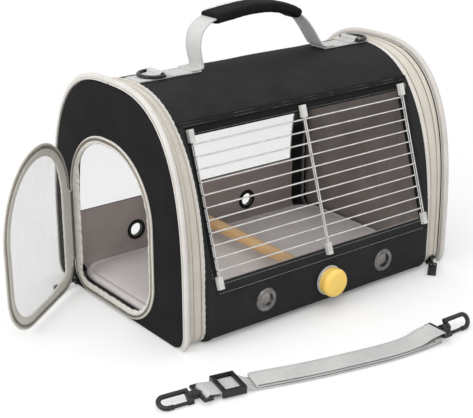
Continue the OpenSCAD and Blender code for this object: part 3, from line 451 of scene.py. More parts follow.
def shell(name, grid, thickness, mat, body, wrap_u=False, flip=False, bulge=None, sharp=40, **more):
    """A sheet of cloth with a thickness: grid is its outer face, and its inner face lies behind it."""
    g = np.array(grid, float)
    n = normals_of(g, wrap_u) * (-1 if flip else 1)
    if bulge is not None:
        g = g + n * np.array(bulge)[..., None]
    nu, nv = g.shape[:2]
    verts = np.concatenate([g.reshape(-1, 3), (g - n * thickness).reshape(-1, 3)])
    cu = np.r_[0, np.cumsum(np.linalg.norm(np.diff(g, axis=0), axis=2).mean(1))]
    cv = np.r_[0, np.cumsum(np.linalg.norm(np.diff(g, axis=1), axis=2).mean(0))]
    uv = np.stack(np.meshgrid(cu, cv, indexing="ij"), 2).reshape(-1, 2)
    off = nu * nv
    at = lambda i, j: (i % nu) * nv + j
    turns = nu if wrap_u else nu - 1
    faces = []
    for i in range(turns):
        for j in range(nv - 1):
            quad = (at(i, j), at(i + 1, j), at(i + 1, j + 1), at(i, j + 1))
            quad = quad[::-1] if flip else quad
            faces += [quad, tuple(off + k for k in reversed(quad))]
    edges = []
    for i in range(turns):
        edges += [(at(i + 1, 0), at(i, 0)), (at(i, nv - 1), at(i + 1, nv - 1))]
    if not wrap_u:
        for j in range(nv - 1):
            edges += [(at(0, j), at(0, j + 1)), (at(nu - 1, j + 1), at(nu - 1, j))]
    for a, b in edges:
        faces.append((b, a, off + a, off + b) if flip else (a, b, off + b, off + a))
    return add_mesh(name, verts, faces, mat, body, np.concatenate([uv, uv]), sharp=sharp, **more)


def sweep(name, path, across, outline, mat, body, closed=False, widths=None, sharp=50, **more):
    """A closed section carried along a path: outline = points (across, through)."""
    p = np.array(path, float)
    n, m = len(p), len(outline)
    tangent = np.roll(p, -1, 0) - np.roll(p, 1, 0) if closed else np.gradient(p, axis=0)
    tangent /= np.maximum(np.linalg.norm(tangent, axis=1, keepdims=True), 1e-9)
    side = np.broadcast_to(np.array(across, float), (n, 3))
    side = side - (side * tangent).sum(1, keepdims=True) * tangent
    side /= np.linalg.norm(side, axis=1, keepdims=True)
    through = np.cross(tangent, side)
    o = np.array(outline, float)
    w = np.array(widths, float) if widths is not None else np.ones((n, 2))
    verts = (p[:, None] + (o[None, :, :1] * w[:, None, :1]) * side[:, None]
             + (o[None, :, 1:] * w[:, None, 1:]) * through[:, None]).reshape(-1, 3)
    length, ring = lengths(p), lengths(o)
    uvs = [(ring[j], length[i]) for i in range(n) for j in range(m)]
    faces = tube_faces(n, m, closed)
    if not closed:
        faces += [cap(0, m), cap(n - 1, m, False)]
    return add_mesh(name, verts, faces, mat, body, uvs, sharp=sharp, tidy=True, **more)


def ribbon(width, thickness, edge=0.35):
    """A flat section with soft edges."""
    w, t, e = width / 2, thickness / 2, thickness * edge
    right = [(w - e, t), (w - 0.3 * e, t - 0.3 * e), (w, t - e)]
    right += [(x, -y) for x, y in reversed(right)]
    inner = np.linspace(w - e, -w + e, 9)[1:-1]
    upper = [(x, t) for x in inner] + [(-x, y) for x, y in right]
    return upper + [(x, -t) for x in reversed(inner)] + right[::-1]


def squarer(value, power):
    """A sine or cosine, moved towards 1 or -1 by a power below 1."""
    return copysign(abs(value) ** power, value)


def oval(width, thickness, steps=16, power=1.0):
    """A rounded section, nearer to a box the smaller the power."""
    out = []
    for k in range(steps):
        c, s = cos(2 * pi * k / steps), sin(2 * pi * k / steps)
        out.append((width / 2 * squarer(c, power), thickness / 2 * squarer(s, power)))
    return out


def stitches(name, path, normals, body, mat="thread", pitch=3.8, length=2.5, width=0.42, lift=0.15):
    """A row of sewn stitches along a path, each a small rounded bar lying on the cloth."""
    p = np.array(path, float)
    d = lengths(p)
    nrm = np.broadcast_to(np.array(normals, float), p.shape)
    verts, faces = [], []
    bar = tube_faces(4, 4, closed=False) + [cap(0, 4), cap(3, 4, False)]
    for s in np.arange(pitch / 2, d[-1] - length / 2, pitch):
        c, a, b = (along(p, d, s + k * length / 2) for k in (0, -1, 1))
        n = along(nrm, d, s)
        n = n / np.linalg.norm(n)
        t = (b - a) / max(np.linalg.norm(b - a), 1e-9)
        w = np.cross(n, t)
        base = len(verts)
        for far, high, wide in ((-1, 0, 0.6), (-0.55, 1, 1), (0.55, 1, 1), (1, 0, 0.6)):
            for sx, sz in ((-1, -0.3), (-0.7, 0.8), (0.7, 0.8), (1, -0.3)):
                verts.append(c + t * far * length / 2 + w * sx * width / 2 * wide
                             + n * (sz * width * 0.6 * high + lift * 0.5))
        faces += [tuple(base + k for k in face) for face in bar]
    return add_mesh(name, verts, faces, mat, body)


def lathe(name, profile, origin, axis, mat, body, steps=64, **more):
    """A round piece: profile = points (radius, distance along the axis), closed on itself."""
    z = Vector(axis).normalized()
    x = z.orthogonal().normalized()
    y = z.cross(x)
    o, m = Vector(origin), len(profile)
    verts = [o + x * r * cos(t) + y * r * sin(t) + z * h
             for t in np.linspace(0, 2 * pi, steps, endpoint=False) for r, h in profile]
    return add_mesh(name, verts, tube_faces(steps, m, flip=True), mat, body, sharp=35, tidy=True, **more)


def area_m2(grid, wrap_u=False):
    """Flat area of a grid of points, in square metres."""
    g = np.array(grid, float)
    if wrap_u:
        g = np.concatenate([g, g[:1]])
    a = np.cross(g[1:, :-1] - g[:-1, :-1], g[:-1, 1:] - g[:-1, :-1])
    b = np.cross(g[1:, :-1] - g[1:, 1:], g[:-1, 1:] - g[1:, 1:])
    return (np.linalg.norm(a, axis=2).sum() + np.linalg.norm(b, axis=2).sum()) / 2 * MM * MM


def drill(ob, y, radius=EYELET_HOLE):
    """Cuts the eyelet holes through a panel that faces Y."""
    verts, faces, steps = [], [], 40
    for x in EYELETS:
        base = len(verts)
        for t in np.linspace(0, 2 * pi, steps, endpoint=False):
            for dy in (-HOLE_DEPTH, HOLE_DEPTH):
                verts.append((x + radius * cos(t), y + dy, EYELET_Z + radius * sin(t)))
        faces += [tuple(base + k for k in face) for face in tube_faces(steps, 2)[::2]]
        near = range(base, len(verts), 2)
        faces += [tuple(near), tuple(k + 1 for k in reversed(near))]
    cutter = add_mesh(ob.name + "_cutter", verts, faces, "black", smooth=False)
    mod = ob.modifiers.new("holes", "BOOLEAN")
    mod.operation, mod.solver, mod.object = "DIFFERENCE", "EXACT", cutter
    bpy.context.view_layer.update()
    cut = bpy.data.meshes.new_from_object(ob.evaluated_get(bpy.context.evaluated_depsgraph_get()))
    ob.modifiers.clear()
    ob.data = cut
    bpy.data.objects.remove(cutter)


# Camera, floor and light
camera_data = bpy.data.cameras.new("camera")
camera_data.sensor_width = SENSOR
camera_data.lens = FOCAL_PX / PHOTO_PX * SENSOR
camera = bpy.data.objects.new("camera", camera_data)
scene.collection.objects.link(camera)
camera.location = CAMERA_AT
down, heading = radians(CAMERA_DOWN), radians(CAMERA_HEADING)
look = Vector((cos(down) * cos(heading), cos(down) * sin(heading), -sin(down)))
camera.rotation_euler = look.to_track_quat("-Z", "Y").to_euler()
scene.camera = camera
scene.view_settings.view_transform = "Standard"

# The floor glows white away from the carrier, and keeps the shadow near it
FLOOR_HALF, FLOOR_Z, FLOOR_FADE, WORLD_LIGHT = 6, -0.0004, (0.06, 0.7), 0.78
FLOOR_GREY, SHADE_GREY, WHITE, BLACK = (tuple([v] * 3 + [1.0]) for v in (0.72, 0.97, 1.0, 0.0))
floor_mesh = bpy.data.meshes.new("floor")
floor_corners = [(x * FLOOR_HALF, y * FLOOR_HALF, FLOOR_Z) for x, y in ((-1, -1), (1, -1), (1, 1), (-1, 1))]
floor_mesh.from_pydata(floor_corners, [], [(0, 1, 2, 3)])
floor = bpy.data.objects.new("floor", floor_mesh)
scene.collection.objects.link(floor)
s = Shader("floor_white")
direct = s.seen_directly()
away = s.node("VectorMath", {0: s.coords()}, "Value", operation="LENGTH")
far = s.ramp(away, *FLOOR_FADE)
s.set(Base_Color=s.mix(direct, FLOOR_GREY, s.mix(far, SHADE_GREY, BLACK)), Roughness=1.0,
      Specular_IOR_Level=0.0, Emission_Color=WHITE, Emission_Strength=s.math("MULTIPLY", direct, far))
floor.data.materials.append(s.material)

# A white world that lights the carrier a little less brightly than it shows
world = bpy.data.worlds.new("studio")
scene.world = world
world.use_nodes = True
w = Nodes(world.node_tree)
glow = w.node("Mix", {0: w.seen_directly(), 2: WORLD_LIGHT, 3: 1.0}, data_type="FLOAT")
w.node("OutputWorld", {0: w.node("Background", {"Strength": glow, "Color": WHITE})})

for lamp, place, size, power in LAMPS:
    light = bpy.data.lights.new(lamp, "AREA")
    light.shape, light.size, light.energy = "DISK", size, power
    ob = bpy.data.objects.new(lamp, light)
    scene.collection.objects.link(ob)
    ob.location = place
    ob.rotation_euler = (Vector((0, 0, 0.1)) - Vector(place)).to_track_quat("-Z", "Y").to_euler()


# Roof
ROOF_X, ROOF_V = 60, 90
roof_back, roof_front = angle_at(ROOF, WINDOW_TOP), 180 - angle_at(ROOF, HEM)
roof_v = [arch_point(ROOF, a) for a in np.linspace(roof_back, roof_front, ROOF_V)]
grid = across_x(roof_v, BAND_IN + 1, ROOF_X)
sag = (np.sin(pi * np.arange(ROOF_X) / (ROOF_X - 1))[:, None] ** 0.7
       * (np.arange(ROOF_V) / (ROOF_V - 1))[None])
bulge = waves(grid, ((0.9, 95, 3.1), (0.4, 34, 7.7))) - 0.9 * sag
bulge *= settle(ROOF_X)[:, None]
roof = shell("roof_cloth", grid, CLOTH, "black", "shell", flip=True, bulge=bulge, slot="black_cloth",
             stands_for=["roof_panel"])

lining_v = [arch_point(inset_sides(ROOF, LINING_IN), a) for a in np.linspace(roof_back, roof_front, 60)]
grid = across_x(lining_v, BAND_IN, 40)
roof_lining = shell("roof_lining_cloth", grid, LINING, "lining", "shell", flip=True, slot="lining_cloth",
                    bulge=-LINING + waves(grid, ((0.5, 60, 1.3),)), stands_for=["roof_lining"])

# The roof's front hem, and the flat strip under it that holds the upper film
hem_v = [arch_point(ROOF, 180 - angle_at(ROOF, z)) for z in np.linspace(HEM + 5.5, HEM, 7)]
grid = across_x([(y - 0.1, z) for y, z in hem_v], BAND_IN, 60)
hem = shell("roof_hem", grid, 3.2, "black_trim", "shell", flip=True, slot="black_cloth",
            bulge=0.75 + waves(grid, ((0.12, 12, 2),)))
for z in (HEM + 1.5, HEM + 4.2):
    y = arch_point(ROOF, 180 - angle_at(ROOF, z))[0]
    stitches("hem_stitches_%d" % z, row_x(165, y - 0.75, z, 80), (0, -0.62, 0.78), "shell",
             pitch=3.6, length=2.3, width=0.4)
strip_v = [(-(front_at(z) + 0.65), z) for z in np.linspace(STRIP_FOOT, HEM + 0.4, 8)]
grid = across_x(strip_v, POST_IN, 60)
head = shell("film_head_strip", grid, 0.8, "black_trim", "shell", slot="black_cloth",
             bulge=waves(grid, ((0.15, 16, 6),)))
stitches("film_head_stitches", row_x(SEAM_HALF, -(front_at(STRIP_SEAM) + 0.8), STRIP_SEAM), (0, -0.95, 0.31),
         "shell", pitch=3.8, length=2.4, width=0.35)


# Lower front panel with its turned top edge
def front_grid(depth, nx, ny=40):
    zs = list(np.linspace(CORNER, FRONT_TOP - 6, ny)) + [FRONT_TOP - 4, FRONT_TOP - 2, FRONT_TOP]
    low = [(-y, z) for y, z in low_corner(FRONT_REACH, CORNER - depth)[:-1]]
    return across_x(low + [(-(front_at(z) - depth), z) for z in zs], POST_IN, nx)


grid = front_grid(0, 70)
front = shell("front_cloth", grid, CLOTH, "black", None, bulge=waves(grid, ((0.35, 60, 5.5), (0.2, 22, 1.5))))
drill(front, -FRONT_REACH)
own(front, "shell", "black_cloth", "front_panel")
front_lining = shell("front_lining_cloth", front_grid(LINING_IN, 40, 24), 0.6, "lining", None)
drill(front_lining, -FRONT_REACH)
own(front_lining, "shell", "lining_cloth", "front_lining")

edge_v = [(-(front_at(z) + 0.7), z) for z in np.linspace(EDGE_FOOT, FRONT_TOP, 12)]
grid = across_x(edge_v, POST_IN, 70)
front_edge = shell("front_edge_strip", grid, 1.0, "black", "shell", slot="black_cloth",
                   bulge=waves(grid, ((0.15, 14, 4.4),)))
for z in (EDGE_FOOT + 1.3, FRONT_TOP - 2.4):
    stitches("front_stitches_%d" % z, row_x(SEAM_HALF, -(front_at(z) + 0.8), z), (0, -1, 0), "shell",
             pitch=3.8, length=2.5, width=0.6)

# Front posts, from the grille's edge to the bands
post_z = [CORNER * (1 - cos(pi / 2 * k / 8)) for k in range(9)]
post_z += list(np.linspace(24, FRONT_TOP - 6, 12)) + [FRONT_TOP - 3, FRONT_TOP]
post_z += list(np.linspace(FRONT_TOP + 3, HEM + 1, 30))
for side, name in SIDES:
    grid = np.array([[(side * (POST_IN + (BAND_IN + 1 - POST_IN) * t),
                       -(front_at(z) * (1 - t) + reach_at(ROOF, z) * t), z) for z in post_z]
                     for t in np.linspace(0, 1, 9)])
    bulge = 2.2 * np.sin(pi * np.arange(9) / 8)[:, None] + waves(grid, ((0.3, 25, 8),))
    post = shell(name + "_post_cloth", grid, 2.2, "black", "shell", flip=side < 0, bulge=bulge,
                 slot="black_cloth", stands_for=[name + "_front_post"])
    grid = np.array([[(side * x, -(front_at(z) + 0.4), z) for z in np.linspace(FRONT_TOP - 1, HEM - 1, 40)]
                     for x in np.linspace(GRILLE_HALF, POST_IN + 0.6, 5)])
    edge = shell(name + "_post_binding", grid, 1.2, "black_trim", "shell", flip=side < 0, slot="black_cloth",
                 bulge=waves(grid, ((0.1, 12, 3),)))
    x = side * (POST_IN + 1.6)
    stitches(name + "_post_stitches", [(x, -(front_at(z) + 0.5), z) for z in np.linspace(76, HEM - 3, 60)],
             (0, -0.95, 0.31), "shell", pitch=3.8, length=2.4, width=0.4)


# Lower back panel
def back_grid(depth, nx):
    low = low_corner(HALF_DEPTH, CORNER - depth)[:-1]
    rows = low + [(reach_at(ROOF, z) - depth, z) for z in np.linspace(CORNER, BACK_TOP, 34)]
    return across_x(rows, BAND_IN + 1, nx)


grid = back_grid(0, 70)
back = shell("back_cloth", grid, CLOTH, "black", None, flip=True, bulge=waves(grid, ((0.4, 55, 6.5),)))
drill(back, HALF_DEPTH)
own(back, "shell", "black_cloth", "back_panel")
grid = back_grid(LINING_IN, 40)
back_lining = shell("back_lining_cloth", grid, LINING, "lining", None, flip=True,
                    bulge=-LINING + waves(grid, ((0.5, 40, 2.5),)))
drill(back_lining, HALF_DEPTH)
own(back_lining, "shell", "lining_cloth", "back_lining")
for z in (BACK_TOP - 2.5, BACK_TOP - 6.5, WINDOW_TOP + 3):
    stitches("back_stitches_%d" % z, row_x(166, reach_at(ROOF, z) + 0.3, z), (0, 1, 0.3), "shell",
             pitch=3.8, length=2.5, width=0.45)

# Films: a large window at the back, and two narrow strips above and below the grille
window_v = [arch_point(inset_sides(ROOF, 1.4), a) for a in
            np.linspace(angle_at(ROOF, BACK_TOP - 1.5), angle_at(ROOF, WINDOW_TOP + 1.5), 40)]
upper_v = [(-(front_at(z) + 0.1), z) for z in np.linspace(*UPPER_FILM, 8)]
lower_v = [(-(front_at(z) + 0.2), z) for z in np.linspace(*LOWER_FILM, 12)]
films = (("back_window", window_v, BAND_IN, "window", 0.5, "roof_panel"),
         ("upper_film", upper_v, FILM_HALF, "film", 0.15, "roof_panel"),
         ("lower_film", lower_v, FILM_HALF, "film", 0.12, "front_panel"))
for name, rows, half, mat, height, rest in films:
    grid = across_x(rows, half, 60)
    film = shell(name + "_sheet", grid, 0.3, mat, "shell", flip=mat == "window",
                 bulge=waves(grid, ((height, 70, 4), (height * 0.3, 25, 9))) - 0.3 * height,
                 slot="clear_film", stands_for=[name])

# Base cloth under the floor board
base_y = [-(FRONT_REACH - CORNER)] + list(np.linspace(-110, 108, 20)) + [HALF_DEPTH - CORNER]
grid = np.array([[(x, max(y, -(HALF_DEPTH - CORNER)) if abs(x) > POST_IN else y,
                   0.3 + 0.1 * wobble(x, y, 0, 30, 9)) for y in base_y]
                 for x in np.linspace(-COIL_OUT, COIL_OUT, 40)])
base = shell("base_cloth", grid, 2.0, "black", "shell", flip=True, slot="black_cloth",
             stands_for=["base_cover"])

# Bands: cream tape under a narrow strip, the wide zip tape and a puckered inner edge
RUN = 320
seg = lengths(section(END))
where = np.linspace(0, seg[-1], RUN)
end_even, roof_even = along(section(END), seg, where), along(section(ROOF), seg, where)
calm = settle(RUN)


def band_line(side, w):
    """A line of the band at a distance from its outer edge."""
    f = w / (BAND_OUT - BAND_IN)
    return np.array([(side * (BAND_OUT - w), y, z) for y, z in end_even * (1 - f) + roof_even * f])


# A band's tapes: name, from, to, lift, thickness, material, steps across, crown, pucker.
# From and to are distances from the band's outer edge
BAND_TAPES = (("lip", 0.0, 4.7, 0.5, 0.9, "cream", 7, 0.45, 0.0),
              ("tape", 5.6, 15.2, 0.2, 0.8, "cream", 12, 0.3, 0.0),
              ("edge", 16.2, 21.2, 0.5, 1.1, "pale", 8, 0.4, 0.3),
              ("lining", 0.6, 20.9, -1.9, 0.4, "black", 6, 0.0, 0.0))
BAND_SEAMS = ((2.4, 0.95), (6.6, 0.4), (14.2, 0.4), (17.2, 0.85))


def band_strip(name, side, w0, w1, lift, thickness, mat, steps, crown, pucker, nodes=()):
    """A strip of the band, flat where it meets the floor."""
    shares = np.linspace(0, 1, steps)
    g = np.array([band_line(side, w0 + (w1 - w0) * t) for t in shares])
    fold = np.array([sin(s / 1.25 + 2.2 * wobble(s, side, 0, 16, 4)) for s in where])
    drift = np.array([0.5 * wobble(s, w0, side, 7, 2) for s in where])
    rise = lift + crown * np.sin(pi * shares)[:, None]
    rise = rise + pucker * (shares[:, None] * fold[None] + drift[None])
    return shell(name, g, thickness, mat, "shell", flip=side < 0, bulge=rise * calm[None], slot="cream_tape",
                 stands_for=nodes)


for side, name in SIDES:
    # A dark strip under the band's tapes, painted shade that shows in the gaps between them
    under = band_strip(name + "_band_under", side, 0.0, 20.9, -0.5, 1.3, "shadow_tape", 12, 0.0, 0.0,
                       [name + "_band"])
    tapes = [band_strip("%s_band_%s" % (name, part), side, *sizes) for part, *sizes in BAND_TAPES]
    for w, high in BAND_SEAMS:
        path = band_line(side, w)
        nrm = np.cross(np.array((1.0, 0.0, 0.0)), np.gradient(path, axis=0))
        nrm /= np.linalg.norm(nrm, axis=1, keepdims=True)
        nrm *= -1 if nrm[RUN // 2, 2] < 0 else 1
        stitches("%s_band_stitches_%d" % (name, w), path + nrm * high, nrm, "shell", "pale_thread",
                 pitch=3.4, length=2.2, width=0.35)

# Middle of an end panel in Y and Z
CENTRE = np.array((5.0, 104.0))


def teeth_row(name, loop, x, mat, body, pitch, profile, reach, skip=None, closed=True, **more):
    """Zip teeth along an outline: profile = (along, outward) of one tooth, reach = half its X size."""
    p = np.array(list(loop) + ([loop[0]] if closed else []), float)
    d = lengths(p)
    verts, faces, m = [], [], len(profile)
    tooth = tube_faces(2, m, closed=False) + [cap(0, m), cap(1, m, False)]
    for s in np.arange(0.6, d[-1] - 0.6, pitch):
        c, c2 = along(p, d, s), along(p, d, s + 0.4)
        if skip and skip(c):
            continue
        t = (c2 - c) / max(np.linalg.norm(c2 - c), 1e-9)
        n = np.array((t[1], -t[0]))
        n *= -1 if n @ (c - CENTRE) < 0 else 1
        b = len(verts)
        for dx in (-reach, reach):
            for dt, dn in profile:
                q = c + t * dt + n * dn
                verts.append((x + dx, q[0], max(q[1], 0.05)))
        faces += [tuple(b + k for k in face) for face in tooth]
    return add_mesh(name, verts, faces, mat, body, smooth=False, slot="zip_teeth", tidy=True, **more)


for side, name in SIDES:
    teeth_row(name + "_zip_teeth", end_even, side * (BAND_OUT + 0.6), "teeth", "shell", 1.5,
              ((-0.45, -1.3), (0.45, -1.3), (0.45, 0.1), (0.2, 0.35), (-0.2, 0.35), (-0.45, 0.1)), 0.75,
              closed=False, stands_for=[name + "_zip_coil"])


# End panels
def rays(outline, centre=CENTRE, count=220):
    """Where rays from a centre meet a closed outline."""
    p = np.array(outline, float)
    parts = [p + (np.roll(p, -1, 0) - p) * t for t in np.linspace(0, 1, 24, endpoint=False)]
    fine = np.concatenate(parts) - centre
    ang = np.arctan2(fine[:, 1], fine[:, 0]) % (2 * pi)
    order = np.argsort(ang)
    ang, rad = ang[order], np.hypot(fine[:, 0], fine[:, 1])[order]
    want = np.linspace(0, 2 * pi, count, endpoint=False)
    r = np.interp(want, np.r_[ang - 2 * pi, ang, ang + 2 * pi], np.r_[rad, rad, rad])
    return np.stack([centre[0] + r * np.cos(want), centre[1] + r * np.sin(want)], 1)


def end_loop(inset):
    """The end panel's edge, no lower than its own inset."""
    return rays([(y, max(z, inset)) for y, z in section(inset_sides(END, inset), 120)])


def opening(side, inset):
    """The doorway's edge on the left, almost a point on the closed right end."""
    return rays(round_outline(*DOORWAY, inset)) if side < 0 else CENTRE + (end_loop(0) - CENTRE) * 0.002


def between(side, inner, outer, steps, x_at):
    """A grid from an inner outline to an outer one, where x_at gives the X of each point."""
    return [[(x_at(side, y, z, t), y, z) for y, z in inner * (1 - t) + outer * t]
            for t in np.linspace(0, 1, steps)]


def panel_x(side, y, z, t):
    """The end panel's cloth, slightly crowned and rippled."""
    out = 1.3 * sin(pi * min(t * 1.05, 1)) ** 0.8 * (0.5 + 0.5 * min(z / 60, 1))
    ripple = 0.8 * wobble(y, z, side, 60, 2.7) + 0.4 * wobble(y, z, side, 22, 5.1)
    return side * (HALF_LENGTH + (out + ripple * sin(pi * t)))


def lining_x(side, y, z, t):
    """The end lining, in upright folds that fade at its edges."""
    fade = sin(pi * t)
    fold = 0.9 + 1.7 * sin(y / 8.0 + 1.8 * wobble(y, z, 0, 50, 1)) * fade
    return side * (LINING_X - fold * sqrt(abs(fade)))


ends, end_area, end_tapes = {}, {}, {}
rim = section(inset_sides(END, -0.45))
rim_even = along(rim, lengths(rim), np.linspace(0, run_length(rim), RUN))
for side, name in SIDES:
    body = name + "_end"
    rings = between(side, opening(side, 7.0), end_loop(2.4), 22, panel_x)
    for x, inset in ((199.3, 0.7), (197.8, 0.0), (195.0, 0.0), (192.4, 0.0)):
        rings.append([(side * x, y, z) for y, z in end_loop(inset)])
    grid = np.array(rings).transpose(1, 0, 2)
    # The end panel's cloth takes the darker copy of the black, with its painted shade
    panel = shell(name + "_end_cloth", grid, 1.8, "end_black_shaded", body, wrap_u=True, flip=side > 0, sharp=60,
                  slot="black_cloth", stands_for=[name + "_end_panel"])
    ends[name], end_area[name] = panel, max(area_m2(grid, True), 0.3 * 0.280 * 0.284)
    tape = np.array([[(side * x, y, z) for y, z in rim_even] for x in TAPE_X])
    end_tapes[name] = shell(name + "_end_tape", tape, 0.4, "pale", body, flip=side > 0, slot="cream_tape")
    grid = np.array(between(side, opening(side, 7.5), end_loop(2.6), 16, lining_x)).transpose(1, 0, 2)
    # The right end's lining takes the darker copy, with its painted shade
    end_lining = shell(name + "_end_lining_cloth", grid, LINING, "lining" if side < 0 else "right_lining_shaded",
                       body, wrap_u=True, flip=side > 0, slot="lining_cloth",
                       stands_for=[name + "_end_lining"])
    # Piping: a cord in a folded strip, with its seam beside it
    r = CORNER + PIPING_OUT
    low = [(HALF_DEPTH - CORNER + r * cos(t), CORNER + r * sin(t))
           for t in np.radians(np.linspace(-43, 0, 9))]
    arch = [arch_point(inset_sides(END, -PIPING_OUT), a) for a in np.linspace(0, 180, 140)]
    run = low + arch + [(-y, z) for y, z in reversed(low)]
    run = along(run, lengths(run), np.linspace(0, run_length(run), 300))
    path = [(side * PIPING_X, y, z) for y, z in run]
    widths = [(1 + 0.04 * wobble(y, z, side, 8, 3), 1 + 0.05 * wobble(y, z, side, 6, 1)) for y, z in run]
    pipe = sweep(name + "_piping", path, (1, 0, 0), oval(6.0, 7.0, 14), "white", body, widths=widths,
                 slot="white_piping", stands_for=[name + "_end_piping"])
    seam = [(side * 199.6, y * 0.985, (z - 100) * 0.985 + 100) for y, z in run]
    sweep(name + "_piping_seam", seam, (0, 1, 0), oval(1.4, 1.4, 6), "white", body, slot="white_piping")


# Bindings: puckered ribbons folded over the edges of the doorway and of its door
def ring_ribbon(name, box, radii, x, inset, width, thickness, mat, body, pucker, pitch=7.0, seed=0.0,
                count=420, widen=None, loose=0.0, sunk=0.0, **more):
    """A puckered tape around an outline. Where widen makes it wider, loose makes its puckers higher.
    Its inner edge leans in behind its face by sunk and by the depth of its puckers."""
    outer, inner = (np.array(round_outline(box, radii, i)) for i in (inset, inset + width))
    outer, inner = np.r_[outer, outer[:1]], np.r_[inner, inner[:1]]
    keep = np.r_[True, np.linalg.norm(np.diff(outer, axis=0), axis=1) > 1e-9]
    outer, inner = outer[keep], inner[keep]
    d = lengths(outer)
    s = np.linspace(0, d[-1], count, endpoint=False)
    outer, inner = along(outer, d, s), along(inner, d, s)
    folds = []
    for k in range(14):
        c, n = cos(pi * k / 7), sin(pi * k / 7)
        folds.append((0.5 - 0.5 * squarer(c, 0.55), squarer(n, 0.7)))
    verts, uvs, m = [], [], len(folds)
    for o, q, at in zip(outer, inner, s):
        extra = widen(*o) if widen else 0.0
        wave = pucker * (sin(2 * pi * at / pitch + 4 * wobble(at, seed, 0, 24, 1))
                         * (0.65 + 0.35 * wobble(at, seed, 4, 30, 1))
                         + 0.5 * wobble(at, seed, 1, 8, 2)) * (1 + loose * extra)
        inward = (q - o) / np.linalg.norm(q - o)
        q = q + inward * extra
        dip = min(0.36 * (sunk * (1 + loose * extra) - wave), 1.9)
        for u, h in folds:
            p = o * (1 - u) + q * u + inward * wave * 0.55 * u ** 2
            verts.append((x - 0.5 * thickness * h + dip * u * (1 if h > 0 else 0.2), p[0], p[1]))
            uvs.append((u * width + (0 if h > 0 else width), at))
    return add_mesh(name, verts, tube_faces(count, m, flip=True), mat, body, uvs, tidy=True, **more)


def swing_point(p):
    """Hangs a point of the closed door slightly low and swings it open."""
    c, s = cos(-DOOR_OPEN), sin(-DOOR_OPEN)
    x, y, z = p[0] - HINGE_X, p[1] - HINGE_Y, p[2] + DOOR_DROOP * (p[1] - HINGE_Y)
    return (HINGE_X + x * c - y * s, HINGE_Y + x * s + y * c, z)


def ring_stitches(name, outline, inset, x, out, body, place=None):
    loop = even_loop(round_outline(*outline, inset), 300)
    path = [(x, y, z) for y, z in loop]
    normal = (out, 0, 0)
    if place:
        path = [place(p) for p in path]
        normal = tuple(np.subtract(place((HINGE_X + out, HINGE_Y, 0)), (HINGE_X, HINGE_Y, 0)))
    stitches(name, path, normal, body, "pale_thread", pitch=3.4, length=2.2, width=0.4)


def rises(value, start, end):
    """0 before start, 1 beyond end, and a straight rise between them."""
    return min(max((value - start) / (end - start), 0), 1)


def loose_edge(y, z):
    """The doorway's binding hangs looser on the hinge side and along the sill."""
    hinge = rises(y, 66, 86) * rises(z, 175, 145) * rises(z, 12, 32)
    return 7.0 * hinge + 2.5 * rises(z, 14, 4)


def wide_rim(y, z):
    """The door's rim is wider on the hinge side and along the lower corner beside it."""
    return 6.5 * rises(y, 20, 70) * rises(z, 190, 150)


TOOTH = ((-0.6, -1.7), (0.6, -1.7), (0.6, 1.2), (0, 1.8), (-0.6, 1.2))
face_x = -HALF_LENGTH - 0.9
edges = [ring_ribbon("doorway_zip_tape", *DOORWAY, face_x, 0.0, 4.2, 2.6, "door_tape", "left_end", 0.1,
                     seed=5.0, slot="grey_binding"),
         ring_ribbon("doorway_binding_cloth", *DOORWAY, face_x + 0.2, 3.6, 5.8, 3.2, "binding", "left_end",
                     1.2, 12.5, seed=2.0, widen=loose_edge, loose=0.2, sunk=1.85, slot="grey_binding",
                     stands_for=["doorway_binding"])]
teeth_row("doorway_teeth", round_outline(*DOORWAY, 3.4), face_x - 1.0, "door_teeth", "left_end", 2.4, TOOTH,
          0.8)
ring_stitches("binding_stitches", DOORWAY, 1.6, face_x - 1.5, -1, "left_end")

# Door leaf, swung open about its hinge line
edges = [ring_ribbon("door_rim_cloth", *DOOR, HINGE_X, 6.4, 8.2, 3.2, "binding", "door", 0.4, 9.0, seed=7.0,
                     widen=wide_rim, slot="grey_binding", stands_for=["door_rim"], place=swing_point),
         ring_ribbon("door_zip_tape_cloth", *DOOR, HINGE_X, 0.1, 7.4, 1.6, "door_tape", "door", 0.12,
                     seed=4.0, slot="cream_tape", stands_for=["door_zip_tape"], place=swing_point)]
teeth_row("door_teeth", round_outline(*DOOR, 4.4), HINGE_X, "door_teeth", "door", 2.6, TOOTH, 1.3,
          skip=lambda c: c[0] > 79 and 30 < c[1] < 128, place=swing_point)
for inset, deep in ((1.8, 0.85), (8.6, 1.72), (12.6, 1.72)):
    for out, tag in ((-1, "out"), (1, "in")):
        ring_stitches("rim_stitches_%d_%s" % (inset, tag), DOOR, inset, HINGE_X + out * deep, out, "door",
                      swing_point)

# Door net, slightly slack
NET_RAYS = 160
net_centre = np.array((3.0, 104.0))
net_edge = rays(round_outline(*DOOR, 13.4), net_centre, NET_RAYS)
grid = np.array([[(HINGE_X - 0.5 * cos(pi / 2 * t) - 0.5 * wobble(y, z, 0, 45, 3) * (1 - t), y, z)
                  for y, z in net_centre * (1 - t) + net_edge * t]
                 for t in np.linspace(0.02, 1, 20)])
faces = tube_faces(len(grid), NET_RAYS, closed=False) + [cap(0, NET_RAYS)]
verts = grid.reshape(-1, 3)
door_net = add_mesh("door_net_cloth", verts, faces, "net", "door", verts[:, 1:], "door_net", ["door_mesh"],
                    place=swing_point)
area_m2(grid.transpose(1, 0, 2), True)

# Cloth flap that joins the door to the doorway's back edge
route = [(-203.0, 97.0), (-203.1, 93.5), (-203.6, 90.6), (-204.4, 88.5)]
route += [swing_point((HINGE_X + 0.2, HINGE_Y - d, 0))[:2] for d in (2.0, 4.0, 6.5)]
grid = np.array([[(x + 0.25 * wobble(x, y, z, 9, 6), y, z) for x, y in route]
                 for z in np.linspace(36, 122, 24)])
flap = shell("door_flap_cloth", grid, 0.8, "binding", None, flip=True, slot="grey_binding",
             stands_for=["door_hinge_flap"])
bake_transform(flap)


